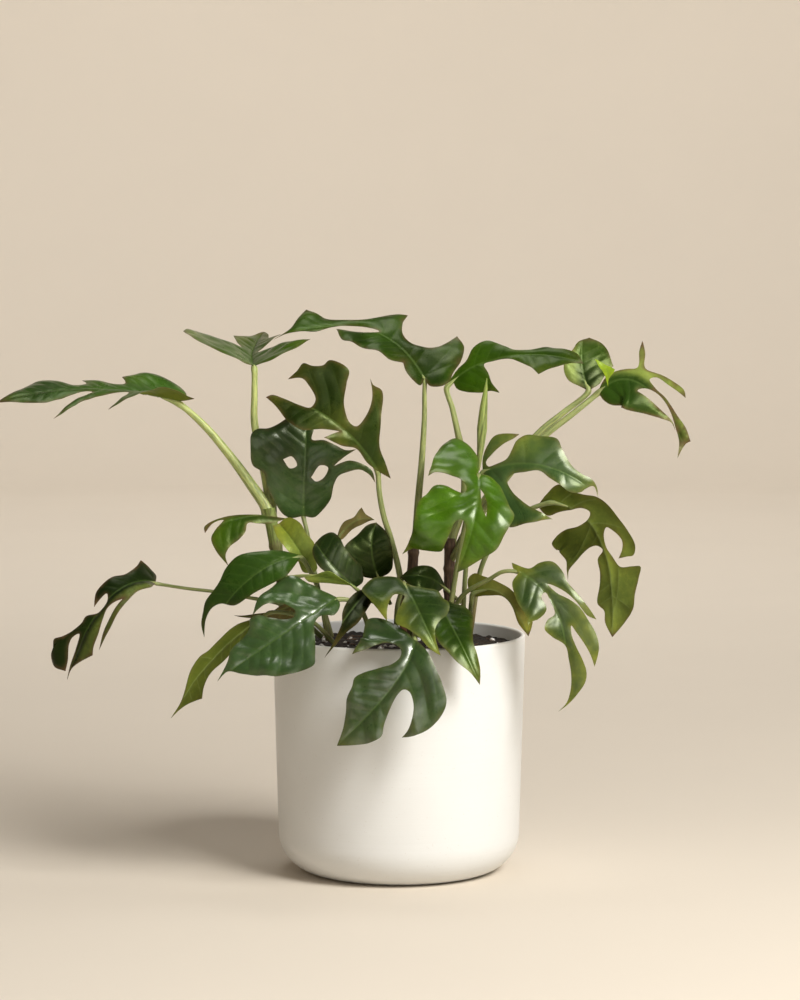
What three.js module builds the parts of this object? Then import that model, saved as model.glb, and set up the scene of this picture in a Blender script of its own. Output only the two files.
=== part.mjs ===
// A potted climbing aroid with deeply lobed leaves: a plain tapered pot, potting soil,
// three stems, leaf stalks, one rolled new leaf and the leaf blades.
// Millimetres, +Z up. The origin is the centre of the pot's flat foot, and -Y is the front.
// The plant is drawn from the soil upwards: its heights are measured from the soil surface.

import * as THREE from "three";

// ---- driving dimensions ----
const rimRadius = 85; // outside of the pot at its lip
const potHeight = 160.4; // foot to lip
const wallTaper = 3.6; // how much narrower the pot is just above its rounded foot
const wall = 3; // thickness of wall and floor
const footFillet = 26.6; // round between wall and foot
const soilDrop = 8; // lip down to the soil
const soilGap = 0.3; // clearance of the soil inside the pot
const leafThickness = 1.4; // a blade, between its faces
const stalkRadius = 1.7; // a leaf stalk
const stemRadius = 4; // a stem near the soil
const jointGap = 0.8; // clearance between a stalk and the blade or stem that it grows from
const newLeafRadius = 4.4; // the rolled new leaf at its widest
const newLeafLength = 62; // the rolled new leaf, foot to tip

const soilTop = potHeight - soilDrop;
const drawnRim = 85; // rim radius that the plant's places below are drawn for

// ---- how finely the surfaces are cut ----
const potSegments = 40; // around the pot
const filletSteps = 5; // along each round of the pot
const marginSteps = 2; // pieces between two points of a leaf margin
const longestEdge = 24; // inside a blade
const stalkSides = 6;
const stalkStep = 14; // along a stalk

// ---- colours and finishes ----
const potCream = 0xefe9dc;
const soilBlack = 0x17120e;
const stemBrown = 0x4a3220;
const stalkGreen = 0x7d8b45;
const youngGreen = 0xa9bf5c;
const leafGreen = 0x2f5523; // a blade that states no colour of its own
const potRoughness = 0.45;
const soilRoughness = 0.95;
const stalkRoughness = 0.5;
const leafRoughness = 0.4;

const plant = new THREE.Group();

function addMesh(name, geometry, color, roughness) {
  const material = new THREE.MeshStandardMaterial({ color, roughness, metalness: 0 });
  const mesh = new THREE.Mesh(geometry, material);
  mesh.name = name;
  plant.add(mesh);
  return mesh;
}

// ---- pot and soil ----

// Points of a round about (cx, cy), from one angle to another in degrees.
function arc(cx, cy, radius, fromDeg, toDeg) {
  const points = [];
  for (let i = 0; i <= filletSteps; i += 1) {
    const a = THREE.MathUtils.degToRad(fromDeg + ((toDeg - fromDeg) * i) / filletSteps);
    points.push(new THREE.Vector2(cx + radius * Math.cos(a), cy + radius * Math.sin(a)));
  }
  return points;
}

// Outside of the pot at a height above the fillet: it leans in towards the foot.
function wallRadius(z) {
  return rimRadius - (wallTaper * (potHeight - z)) / (potHeight - footFillet);
}

// Turns an outline, given as radius and height, about the upright axis.
function turned(profile) {
  const geometry = new THREE.LatheGeometry(profile, potSegments);
  return geometry.rotateX(Math.PI / 2);
}

// The outline runs from the foot's middle out, up the outside, over the lip and down inside.
function potProfile() {
  const outer = arc(wallRadius(footFillet) - footFillet, footFillet, footFillet, -90, 0);
  const lip = arc(rimRadius - wall / 2, potHeight - wall / 2, wall / 2, 0, 180);
  const innerFillet = footFillet - wall;
  const inner = arc(wallRadius(footFillet) - footFillet, footFillet, innerFillet, 0, -90);
  const axis = new THREE.Vector2(0, 0);
  return [axis, ...outer, ...lip, ...inner, new THREE.Vector2(0, wall)];
}

// The soil fills the pot to soilTop, a little clear of the floor and wall.
function soilProfile() {
  const innerFillet = footFillet - wall - soilGap;
  const side = arc(wallRadius(footFillet) - footFillet, footFillet, innerFillet, -90, 0);
  const topEdge = new THREE.Vector2(wallRadius(soilTop) - wall - soilGap, soilTop);
  return [
    new THREE.Vector2(0, wall + soilGap), ...side, topEdge, new THREE.Vector2(0, soilTop),
  ];
}

addMesh("pot", turned(potProfile()), potCream, potRoughness);
addMesh("potting_soil", turned(soilProfile()), soilBlack, soilRoughness);

// ---- placing the plant ----

// A point drawn from the soil's middle is lifted onto the soil. Inside the rim it spreads with
// the pot, and outside the rim it keeps its distance from it.
function place(point) {
  const r = Math.hypot(point.x, point.y);
  const grown = rimRadius - drawnRim;
  const factor = r < drawnRim ? rimRadius / drawnRim : (r + grown) / r;
  return new THREE.Vector3(point.x * factor, point.y * factor, point.z + soilTop);
}

function placeGeometry(geometry) {
  const position = geometry.attributes.position;
  const point = new THREE.Vector3();
  for (let i = 0; i < position.count; i += 1) {
    const placed = place(point.fromBufferAttribute(position, i));
    position.setXYZ(i, placed.x, placed.y, placed.z);
  }
  geometry.computeVertexNormals();
  return geometry;
}

// ---- leaf blades ----
// A blade is drawn flat, in mm: the first number of a margin point is across the midrib, minus
// on the left, and the second is along it from the base. TIP marks a point of the margin that
// is sharp. The rib is the midrib's base, middle and tip, x y z from the soil's middle. The face
// is the way that the upper side looks, at the base and the tip if they differ. Fold is how many
// degrees each half is lifted from flat, left and right, one number or a list from base to tip.
// Curl is how many more degrees it turns in each 50 mm outwards. Ripple is the height of the
// waves in the margin. A petiole is the short flat stalk of a blade that has no stalk of its own.

const TIP = true;

const leaves = [
  {
    name: "leaf_01", // far left, high
    rib: [[-147, -2, 165], [-204, -18, 174], [-262, -40, 167]], face: [[0, -0.1, 1], [0, -0.3, 1]],
    fold: [[38, -8, -8], [26, 8, 8]], curl: [-22, -14], ripple: 0,
    margin: [
      [0, 0, TIP], [-9, -8, TIP], [-13, 4], [-15, 16], [-12, 30], [-20, 40], [-31, 56, TIP], [-18, 50],
      [-8, 46], [-9, 52], [-16, 64, TIP], [-7, 64], [-13, 70], [-24, 82], [-33, 96, TIP], [-20, 92],
      [-11, 90], [-12, 98], [-8, 106], [-5, 116], [0, 126, TIP], [7, 112], [14, 100], [21, 91],
      [17, 80], [9, 70], [10, 62], [20, 62, TIP], [17, 54], [11, 44], [12, 36], [24, 36, TIP],
      [30, 24], [29, 12], [20, 0], [8, -5],
    ],
  },
  {
    name: "leaf_02", // left, high, pointing back
    rib: [[-97, 4, 188], [-100, 40, 196], [-95, 84, 207]], face: [0, -0.15, 1],
    fold: [[30, 22], [26, 20]], curl: [-8, -8], ripple: 0,
    margin: [
      [0, 0, TIP], [-12, -6], [-28, -4], [-44, 2], [-51, 14, TIP], [-44, 30], [-32, 36], [-18, 36],
      [-8, 36], [-12, 44], [-16, 56, TIP], [-9, 64], [-5, 74], [0, 88, TIP], [6, 76], [9, 66],
      [17, 66, TIP], [13, 52], [7, 40], [5, 30], [13, 28], [25, 24], [34, 16], [42, 6, TIP], [28, -2],
      [14, -5],
    ],
  },
  {
    name: "leaf_03", // middle, highest
    rib: [[17, -8, 180], [-22, 24, 212], [-84, 22, 206]], face: [[0, -0.6, 0.8], [0, -0.35, 0.94]],
    fold: [6, 6], curl: [-8, -8], ripple: 0,
    margin: [
      [0, 0, TIP], [-5, -5], [-8, 0], [-9, 10], [-7, 19, TIP], [-14, 26], [-17, 38], [-20, 49],
      [-23, 62], [-20, 76], [-6, 82, TIP], [-6, 69], [-4, 60], [2, 53], [3, 63], [1, 73], [-2, 87],
      [-5, 97], [-1, 108], [2, 117], [0, 126, TIP], [3, 119], [7, 112], [19, 104], [28, 99, TIP],
      [18, 93], [10, 87], [7, 77], [9, 69], [18, 60], [28, 52], [30, 49, TIP], [18, 46], [10, 40],
      [9, 31], [14, 24], [22, 21], [31, 22], [39, 23, TIP], [38, 16], [33, 9], [28, 4, TIP], [20, -2],
      [14, -9], [7, -10], [1, -7],
    ],
  },
  {
    name: "leaf_04", // right of the middle, high
    rib: [[32, 12, 174], [71, 10, 194], [124, -4, 191]], face: [[0, -0.75, 0.65], [0, -0.6, 0.8]],
    fold: [6, 4], curl: [-8, -8], ripple: 0,
    margin: [
      [0, 0, TIP], [-5, 13], [-7, 20], [-14, 27], [-17, 35], [-14, 40], [-10, 45], [-5, 51], [-5, 61],
      [-8, 71], [-7, 77], [-8, 85], [-7, 92], [2, 100, TIP], [4, 91], [10, 83], [14, 77],
      [19, 72, TIP], [12, 63], [4, 51], [2, 44], [1, 37], [1, 30], [10, 31], [20, 32], [32, 38, TIP],
      [26, 28], [21, 16], [14, 8], [7, 4], [0, 5],
    ],
  },
  {
    name: "leaf_05", // right, high, upright
    rib: [[128, 18, 172], [124, 26, 187], [125, 30, 206]], face: [-0.1, -1, 0.3],
    fold: [20, -12], curl: [-20, -10], ripple: 0,
    margin: [
      [0, -1, TIP], [-5, 4], [-11, 9], [-13, 15], [-12, 21], [-6, 29], [-3, 34], [4, 38, TIP],
      [12, 36], [17, 32], [20, 26], [22, 17, TIP], [16, 10], [9, 2],
    ],
  },
  {
    name: "leaf_06", // far right, drooping
    rib: [[134, 10, 170], [162, 4, 176], [190, -8, 137]], face: [0, -0.95, 0.3],
    fold: [6, 6], curl: [-8, -8], ripple: 0,
    margin: [
      [0, 0, TIP], [-5, 10], [-7, 21], [-9, 26], [-20, 25], [-28, 25, TIP], [-21, 27], [-11, 30],
      [-14, 39], [-16, 45], [-18, 53], [-16, 57, TIP], [-14, 51], [-12, 45], [-10, 37], [-6, 35],
      [-4, 42], [-5, 50], [-5, 56], [-5, 64], [-6, 74], [-5, 83, TIP], [-2, 83], [3, 86], [8, 90, TIP],
      [2, 80], [0, 70], [-2, 61], [-3, 51], [-2, 43], [1, 36], [5, 33], [4, 45], [2, 56], [0, 66],
      [1, 72, TIP], [1, 66], [5, 61], [12, 52], [21, 35], [14, 2], [7, -1],
    ],
  },
  {
    name: "leaf_07", // right, youngest and smallest
    rib: [[140, 0, 174], [139, -4, 186], [131, -6, 192]], face: [0, -1, 0.2],
    fold: [4, 4], curl: [0, 0], ripple: 0,
    margin: [
      [0, 0, TIP], [-2, 6], [-3, 18], [1, 24, TIP], [1, 16], [5, 11, TIP], [0, 6],
    ],
  },
  {
    name: "leaf_08", // left of the middle, facing front
    rib: [[-14, -34, 120], [-45, -40, 155], [-87, -34, 170]], face: [0, -1, 0.15],
    fold: [12, 6], curl: [-10, -14], ripple: 0.8,
    margin: [
      [0, 0, TIP], [-3, 9], [-3, 21], [-9, 30], [-13, 44, TIP], [-3, 38, TIP], [-9, 49], [-16, 61],
      [-14, 74], [-6, 86], [-1, 94, TIP], [1, 90], [0, 81], [-1, 70], [0, 63], [6, 62], [13, 69],
      [16, 74], [13, 82, TIP], [20, 78], [26, 76], [26, 71], [29, 66], [34, 64], [34, 54], [25, 51],
      [13, 46], [6, 37], [7, 32], [16, 32], [28, 36], [37, 43, TIP], [35, 40], [36, 35], [22, 25],
      [10, 13], [7, 1], [5, -9, TIP],
    ],
  },
  {
    name: "leaf_09", // left, behind the last
    rib: [[-64, -6, 88], [-63, -8, 123], [-61, 2, 158]], face: [0.1, -1, 0.1],
    fold: [8, 8], curl: [-12, -12], ripple: 0.8,
    margin: [
      [0, 0, TIP], [-9, -1], [-14, 2], [-19, 9], [-24, 18], [-27, 28], [-35, 33], [-37, 43], [-37, 52],
      [-33, 56], [-26, 57], [-20, 60], [-15, 64, TIP], [-9, 69], [0, 72, TIP], [5, 62], [4, 52],
      [12, 52], [20, 49], [27, 46], [34, 47, TIP], [26, 41], [20, 35], [24, 37], [30, 39], [39, 37],
      [45, 33], [48, 24, TIP], [43, 30], [37, 33], [29, 31], [23, 28], [20, 22], [18, 12], [12, 3],
      [7, -1],
    ],
  },
  {
    name: "leaf_10", // left, small and curled
    rib: [[-74, -26, 88], [-102, -36, 90], [-128, -44, 80]], face: [0, -0.75, 0.66],
    fold: [-8, 10], curl: [-30, -10], ripple: 0,
    margin: [
      [0, 0, TIP], [-5, 11], [-6, 22], [-5, 29], [-11, 33], [-15, 40], [-17, 49], [-21, 56],
      [-28, 59, TIP], [-15, 60], [-6, 58], [-2, 52], [2, 44], [3, 51], [0, 59, TIP], [4, 57], [4, 44],
      [3, 35], [1, 25], [0, 12],
    ],
  },
  {
    name: "leaf_11", // left, plain oval
    rib: [[-64, -48, 65], [-96, -66, 53], [-128, -72, 15]], face: [-0.25, -0.8, 0.6],
    fold: [8, 8], curl: [-14, -14], ripple: 0.6,
    margin: [
      [1, -1, TIP], [-9, 12], [-15, 23], [-14, 31], [-12, 42], [-10, 52], [-6, 61], [3, 66], [6, 72],
      [5, 80], [-1, 90, TIP], [6, 84], [10, 77], [13, 71], [13, 63], [14, 56], [18, 47], [19, 38],
      [16, 29], [11, 20], [6, 10],
    ],
  },
  {
    name: "leaf_12", // far left, low
    rib: [[-161, -22, 45], [-192, -48, 36], [-218, -58, -15]], face: [-0.35, -0.75, 0.55],
    fold: [10, 8], curl: [-20, -18], ripple: 0,
    margin: [
      [0, 1, TIP], [-9, 13], [-10, 25], [-13, 37], [-17, 53], [-17, 67], [-17, 76, TIP], [-13, 62],
      [-12, 49], [-9, 37, TIP], [-5, 48], [-7, 57], [-10, 66], [-12, 76], [-14, 81, TIP], [-6, 88],
      [-1, 95], [0, 103, TIP], [1, 93], [2, 82], [4, 72], [8, 76], [8, 81], [4, 91], [3, 98, TIP],
      [13, 98], [18, 92], [18, 87], [20, 82], [15, 78], [10, 72], [6, 65], [6, 60], [0, 54], [-1, 45],
      [4, 40], [5, 46], [5, 52, TIP], [8, 48], [11, 43], [12, 36], [12, 28], [10, 20], [14, 10],
      [20, 4, TIP], [14, 0], [8, -3],
    ],
  },
  {
    name: "leaf_13", // left, hanging beside the pot
    rib: [[-86, -56, 29], [-122, -72, 0], [-148, -80, -37]], face: [-0.4, 0.75, 0.5],
    fold: [8, 8], curl: [-12, -12], ripple: 0,
    margin: [
      [0, 0, TIP], [-3, 13], [-7, 22], [-8, 29], [-7, 38], [-7, 47], [-9, 53], [-8, 62], [-4, 71],
      [-1, 79], [1, 87], [0, 96, TIP], [4, 88], [9, 81], [16, 74, TIP], [11, 67], [9, 59], [9, 52],
      [10, 43], [10, 33], [13, 21], [13, 6],
    ],
  },
  {
    name: "leaf_14", // left, large, over the rim
    rib: [[-40, -72, 40], [-73, -94, 20], [-117, -104, -10]], face: [-0.15, -0.8, 0.6],
    fold: [8, 8], curl: [-16, -16], ripple: 0.7,
    margin: [
      [1, 0, TIP], [-6, 4], [-10, 14], [-7, 16], [-4, 20], [-7, 27], [-17, 34], [-27, 41], [-33, 46],
      [-31, 55], [-25, 66], [-16, 75], [-6, 84], [1, 90], [0, 99, TIP], [4, 91], [7, 86], [12, 80],
      [15, 71], [18, 61], [22, 58], [21, 52], [15, 46], [9, 40], [6, 34], [9, 30], [15, 31], [22, 35],
      [25, 41], [25, 48], [23, 55, TIP], [32, 44], [35, 34], [35, 22], [32, 13], [27, 9], [18, 6],
      [9, 3],
    ],
  },
  {
    name: "leaf_15", // front, hanging over the rim
    rib: [[10, -99, 16], [-3, -112, -11], [-40, -112, -51]], face: [-0.1, -0.93, 0.3],
    fold: [8, 6], curl: [-14, -16], ripple: 0.6,
    margin: [
      [0, 0, TIP], [-8, 6], [-18, 14], [-27, 20], [-35, 26], [-37, 32], [-36, 41], [-32, 49],
      [-26, 55, TIP], [-26, 49], [-23, 42], [-18, 36], [-11, 32], [-7, 33], [-6, 38], [-8, 47],
      [-12, 57], [-16, 63], [-14, 70], [-6, 81], [0, 88, TIP], [5, 78], [11, 70], [17, 62], [20, 53],
      [23, 47], [20, 39], [14, 30], [8, 22], [6, 15], [8, 9], [14, 6], [21, 11], [28, 23],
      [34, 34, TIP], [34, -6], [31, -16], [23, -17], [15, -14], [6, -7],
    ],
  },
  {
    name: "leaf_16", // front, over the middle
    rib: [[3, -66, 50], [13, -88, 33], [26, -101, 6]], face: [0.05, -0.85, 0.5],
    fold: [8, 8], curl: [-16, -16], ripple: 0,
    margin: [
      [0, 0, TIP], [-4, 7], [-11, 13], [-17, 19], [-18, 27], [-20, 33], [-16, 39], [-10, 41], [-5, 45],
      [-2, 53], [-1, 63, TIP], [4, 56], [7, 48], [12, 39], [17, 32], [14, 26], [8, 20], [4, 14],
      [9, 11], [14, 15], [19, 22], [22, 29, TIP], [24, 21], [26, 12], [28, -2], [22, -9], [13, -11],
      [3, -7],
    ],
  },
  {
    name: "leaf_17", // front right, over the rim
    rib: [[24, -52, 37], [38, -86, 16], [52, -97, -13]], face: [0.25, -0.8, 0.5],
    fold: [6, 6], curl: [-14, -20], ripple: 0,
    margin: [
      [0, 0, TIP], [-6, 2], [-11, 8], [-16, 13], [-17, 26], [-12, 40], [-8, 50], [-7, 59], [-5, 68],
      [0, 78, TIP], [3, 68], [8, 59], [11, 50], [14, 42], [13, 32], [8, 16],
    ],
  },
  {
    name: "leaf_18", // right of the middle, facing front
    rib: [[52, -58, 120], [49, -84, 93], [38, -80, 58]], face: [-0.05, -0.95, 0.3],
    fold: [6, 6], curl: [-14, -12], ripple: 0.7,
    margin: [
      [0, -1, TIP], [-7, 3], [-13, 11], [-17, 20], [-21, 28], [-25, 33], [-23, 39], [-21, 45],
      [-19, 53], [-13, 60], [-6, 69], [0, 77, TIP], [2, 67], [3, 57], [4, 47], [6, 42], [9, 41],
      [12, 44], [13, 52], [14, 60], [15, 68], [25, 72], [33, 76], [38, 83, TIP], [37, 72], [37, 59],
      [38, 45], [38, 33], [33, 23], [28, 14], [21, 15], [15, 18], [9, 19], [8, 14], [11, 8], [15, 3],
      [22, -4], [28, -6], [33, -3, TIP], [30, -17], [26, -28], [19, -39], [13, -42], [7, -38],
      [2, -29], [-1, -17],
    ],
  },
  {
    name: "leaf_19", // right, behind the last
    rib: [[55, -38, 120], [94, -50, 125], [131, -52, 105]], face: [0.1, -0.93, 0.35],
    fold: [6, 6], curl: [-12, -14], ripple: 0.6,
    margin: [
      [0, 0, TIP], [-9, 3], [-16, 8], [-21, 13], [-20, 26, TIP], [-17, 23], [-14, 17], [-9, 9],
      [-5, 4], [-2, 5], [-2, 11], [-4, 18], [-10, 22], [-16, 25], [-20, 30], [-20, 37], [-20, 46],
      [-15, 50], [-10, 55], [-6, 61], [-5, 68], [-6, 74], [-4, 80], [1, 85, TIP], [-3, 78], [1, 75],
      [6, 73], [10, 66], [9, 58], [7, 49], [4, 41], [6, 31], [7, 21], [11, 17], [19, 21], [26, 31],
      [30, 42], [32, 57], [32, 66, TIP], [39, 50], [42, 31], [42, 14], [32, 6], [17, 3], [6, 1],
    ],
  },
  {
    name: "leaf_20", // right, hanging
    rib: [[102, -14, 98], [134, -26, 74], [142, -30, 10]], face: [0.45, 0.8, 0.2],
    fold: [6, 6], curl: [-10, -10], ripple: 0.6,
    margin: [
      [-4, -10, TIP], [-10, -3], [-7, 5], [-2, 14], [4, 21], [5, 26], [0, 28], [-10, 25], [-18, 15],
      [-25, 5], [-30, 0], [-33, 4], [-33, 50], [-33, 68, TIP], [-31, 59], [-21, 50], [-11, 46],
      [-4, 47], [-1, 51], [-7, 56], [-8, 67], [-10, 78], [-12, 88], [-7, 93], [-6, 100], [0, 110, TIP],
      [9, 99], [15, 90], [16, 82], [20, 72], [23, 66], [17, 65], [8, 64], [4, 57], [2, 50], [4, 42],
      [8, 39], [11, 42], [14, 49], [12, 54], [8, 59, TIP], [14, 59], [19, 59], [22, 54], [21, 46],
      [20, 39], [19, 32], [17, 24], [13, 18], [11, 11], [13, 4], [6, -3],
    ],
  },
  {
    name: "leaf_21", // right, low, deeply cut
    rib: [[79, -60, 56], [106, -72, 23], [104, -74, -34]], face: [0.1, -0.93, 0.35],
    fold: [6, 6], curl: [-10, -12], ripple: 0.5,
    margin: [
      [1, 0, TIP], [0, -5], [-3, -8, TIP], [-5, 4], [-12, 7], [-18, 12], [-18, 19], [-16, 25],
      [-18, 35], [-23, 48, TIP], [-18, 45], [-14, 36], [-10, 27], [-5, 19], [-6, 27], [-11, 34],
      [-15, 40], [-18, 48], [-21, 55], [-22, 62], [-19, 73, TIP], [-16, 66], [-12, 59], [-8, 52],
      [-6, 48], [-5, 53], [-7, 61], [-11, 69], [-14, 76], [-14, 82], [-10, 90], [-5, 98],
      [0, 104, TIP], [-4, 97], [-5, 88], [-4, 78], [-2, 69], [0, 60], [8, 53], [12, 46], [8, 40],
      [2, 38], [1, 30], [0, 22], [4, 23], [6, 33], [14, 37], [20, 37], [24, 47, TIP], [20, 29],
      [19, 16], [14, 5], [9, 0],
    ],
  },
  {
    name: "leaf_22", // right, rolled, behind the last
    rib: [[50, -34, 39], [69, -46, 39], [85, -50, 13]], face: [0.2, 0.9, 0.1],
    fold: [15, 15], curl: [10, 10], ripple: 0,
    margin: [
      [-3, -1, TIP], [-4, 4], [-4, 14], [-1, 25], [-1, 34], [-3, 46], [0, 56, TIP], [5, 50], [9, 42],
      [6, 33], [6, 25], [6, 17], [9, 9], [12, 5], [11, 1], [5, -3],
    ],
  },
  {
    name: "leaf_23", petiole: 8, // front left, narrow
    rib: [[-16, -51, 46], [-34, -82, 29], [-48, -98, 4]], face: [-0.1, -0.85, 0.5],
    fold: [8, 8], curl: [-14, -14], ripple: 0,
    margin: [
      [0, 0, TIP], [-7, 17], [-9, 30], [-9, 43], [-6, 52], [-3, 62], [0, 73, TIP], [-1, 60], [0, 47],
      [4, 38], [6, 27], [5, 15],
    ],
  },
  {
    name: "leaf_24", petiole: 24, // middle, round
    rib: [[-13, -39, 49], [-18, -46, 69], [-15, -36, 86]], face: [0, -0.9, 0.45],
    fold: [6, 6], curl: [-14, -14], ripple: 0,
    margin: [
      [0, 0, TIP], [-9, 7], [-16, 14], [-20, 21], [-17, 25], [-10, 31], [-5, 39], [0, 43, TIP],
      [8, 37], [13, 26], [13, 12], [9, 0],
    ],
  },
  {
    name: "leaf_25", petiole: 20, // left of the middle, round
    rib: [[-28, -58, 45], [-42, -65, 59], [-55, -56, 75]], face: [-0.1, -0.85, 0.5],
    fold: [6, 6], curl: [-14, -18], ripple: 0,
    margin: [
      [0, 0, TIP], [-3, 15], [-7, 26], [-7, 32], [-5, 39], [0, 44, TIP], [7, 46], [13, 44], [15, 37],
      [14, 29], [14, 20], [13, 2], [7, -4],
    ],
  },
  {
    name: "leaf_26", petiole: 12, // middle, back, seen from below
    rib: [[-42, -2, 71], [-30, -3, 84], [-17, -2, 85]], face: [0, 0.9, 0.3],
    fold: [6, 6], curl: [-10, -10], ripple: 0,
    margin: [
      [0, 0, TIP], [-3, 3], [-4, 13], [-4, 23], [0, 32, TIP], [3, 26], [8, 24, TIP], [3, 19], [4, 13],
      [3, 8],
    ],
  },
  {
    name: "leaf_27", petiole: 16, // left of the middle, narrow
    rib: [[-62, -64, 53], [-46, -70, 53], [-30, -72, 48]], face: [0, -0.6, -0.8],
    fold: [10, 10], curl: [-10, -10], ripple: 0,
    margin: [
      [0, 0, TIP], [-2, 8], [-10, 18], [-5, 24], [0, 34, TIP], [5, 21], [7, 10], [5, 1],
    ],
  },
  {
    name: "leaf_28", petiole: 14, // left, narrow, behind the large one
    rib: [[-65, -42, 36], [-85, -46, 28], [-108, -44, 25]], face: [0, 0.7, 0.7],
    fold: [4, 4], curl: [-6, -6], ripple: 0,
    margin: [
      [0, 0, TIP], [-3, 9], [-3, 15], [0, 21], [-1, 33], [-1, 46, TIP], [3, 33], [8, 21], [14, 12],
      [12, 4],
    ],
  },
  {
    name: "leaf_29", petiole: 24, // middle, behind the front leaf
    rib: [[31, -30, 42], [17, -44, 51], [1, -44, 51]], face: [0, -0.9, 0.45],
    fold: [6, 6], curl: [-10, -10], ripple: 0,
    margin: [
      [1, 0, TIP], [-8, 11], [-10, 24], [-6, 33], [0, 39, TIP], [4, 33], [7, 26], [8, 18], [6, 10],
    ],
  },
  {
    name: "sheath_left", color: youngGreen, // opened sheath around the left shoot
    rib: [[-58, -36, 52], [-67, -40, 70], [-79, -34, 85]], face: [0.2, -0.95, 0.2],
    fold: [25, 25], curl: [0, 0], ripple: 0,
    margin: [
      [1, 0, TIP], [-5, 5], [-5, 14], [-8, 22], [-8, 33], [-5, 42, TIP], [7, 40], [11, 32],
      [10, 25], [11, 17], [7, 12], [5, 2],
    ],
  },
];

const petioleHalfWidth = 1.4;
const petioleOverlap = 2; // how far a petiole's sides reach into its blade
const flat = 1e-4; // stands for no curl, in degrees
const normalStep = 0.5; // distance over which a blade's slope is taken
const curlLength = 50; // curl is given for this distance
const rippleLength = 42; // between two waves of the margin
const rippleReach = 30; // distance from the midrib at which the ripple has its full height
const rippleLimit = 1.5; // and how many times that distance it goes on growing for
const ribSamples = 80;
const swapLimit = 1e-6; // a diagonal is left where the gain is smaller than this

// Smooth change between the numbers of a list as u goes from 0 to 1.
function eased(values, u) {
  const list = Array.isArray(values) ? values : [values];
  if (list.length === 1) return list[0];
  const last = list.length - 1;
  const k = Math.min(Math.floor(u * last), last - 1);
  const w = (1 - Math.cos(Math.PI * (u * last - k))) / 2;
  return list[k] + (list[k + 1] - list[k]) * w;
}

// The midrib as a curve with lengths along it, and the bent surface of the blade around it.
class Blade {
  constructor(leaf) {
    this.leaf = leaf;
    const [base, middle, tip] = leaf.rib.map((p) => new THREE.Vector3(...p));
    const control = middle.clone().multiplyScalar(2).sub(base.clone().add(tip).divideScalar(2));
    this.curve = new THREE.QuadraticBezierCurve3(base, control, tip);
    this.curve.arcLengthDivisions = ribSamples;
    this.length = this.curve.getLength();
    const faces = Array.isArray(leaf.face[0]) ? leaf.face : [leaf.face, leaf.face];
    this.faces = faces.map((f) => new THREE.Vector3(...f));
  }

  // Point of the midrib, and its directions: along, across to the right, and out of the face.
  frame(along) {
    const inside = THREE.MathUtils.clamp(along, 0, this.length);
    const u = inside / this.length;
    const t = this.curve.getUtoTmapping(u);
    const tangent = this.curve.getTangent(t);
    const point = this.curve.getPoint(t).addScaledVector(tangent, along - inside);
    const normal = this.faces[0].clone().lerp(this.faces[1], u);
    normal.addScaledVector(tangent, -normal.dot(tangent)).normalize();
    const right = tangent.clone().cross(normal);
    return { u, point, tangent, normal, right };
  }

  at(across, along) {
    const { u, point, normal, right } = this.frame(along);
    const side = across < 0 ? 0 : 1;
    const out = Math.abs(across);
    const fold = THREE.MathUtils.degToRad(eased(this.leaf.fold[side], u));
    const curl = THREE.MathUtils.degToRad(this.leaf.curl[side] || flat) / curlLength;
    const sideways = (Math.sin(fold + curl * out) - Math.sin(fold)) / curl;
    const reach = Math.min(out / rippleReach, rippleLimit);
    const wave = this.leaf.ripple * reach ** 2 * Math.sin((along * 2 * Math.PI) / rippleLength);
    const lift = (Math.cos(fold) - Math.cos(fold + curl * out)) / curl + wave;
    return point.addScaledVector(right, Math.sign(across) * sideways).addScaledVector(normal, lift);
  }

  // Direction out of the upper face of the bent blade.
  normalAt(across, along) {
    const h = normalStep;
    const here = across || h; // the midrib itself takes the slope of its right side
    const stepAcross = this.at(here + h * Math.sign(here), along).sub(this.at(here, along));
    const stepAlong = this.at(here, along + h).sub(this.at(here, along - h));
    return stepAcross.multiplyScalar(Math.sign(here)).cross(stepAlong).normalize();
  }
}

// The margin as a closed list of flat points: smooth curves between its sharp points.
function smoothMargin(leaf) {
  const start = leaf.margin[0];
  const w = petioleHalfWidth;
  const end = -leaf.petiole;
  const stub = [
    [w, petioleOverlap, TIP], [w, end, TIP], [-w, end, TIP], [-w, petioleOverlap, TIP],
  ];
  const margin = leaf.petiole ? [...stub, ...leaf.margin.slice(1), stub[0]]
    : [...leaf.margin, start];
  const outline = [];
  let from = 0;
  while (from < margin.length - 1) {
    let to = from + 1;
    while (to < margin.length - 1 && !margin[to][2]) to += 1;
    const run = margin.slice(from, to + 1).map((p) => new THREE.Vector3(p[0], p[1], 0));
    const steps = run.length === 2 ? 1 : marginSteps * (run.length - 1);
    const curve = new THREE.CatmullRomCurve3(run, false, "centripetal");
    outline.push(...curve.getPoints(steps).slice(0, -1).map((p) => new THREE.Vector2(p.x, p.y)));
    from = to;
  }
  return THREE.ShapeUtils.isClockWise(outline) ? outline.reverse() : outline;
}

// Twice the area of a flat triangle, above zero if it turns anticlockwise.
function turn(a, b, c) {
  return (b.x - a.x) * (c.y - a.y) - (b.y - a.y) * (c.x - a.x);
}

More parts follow.
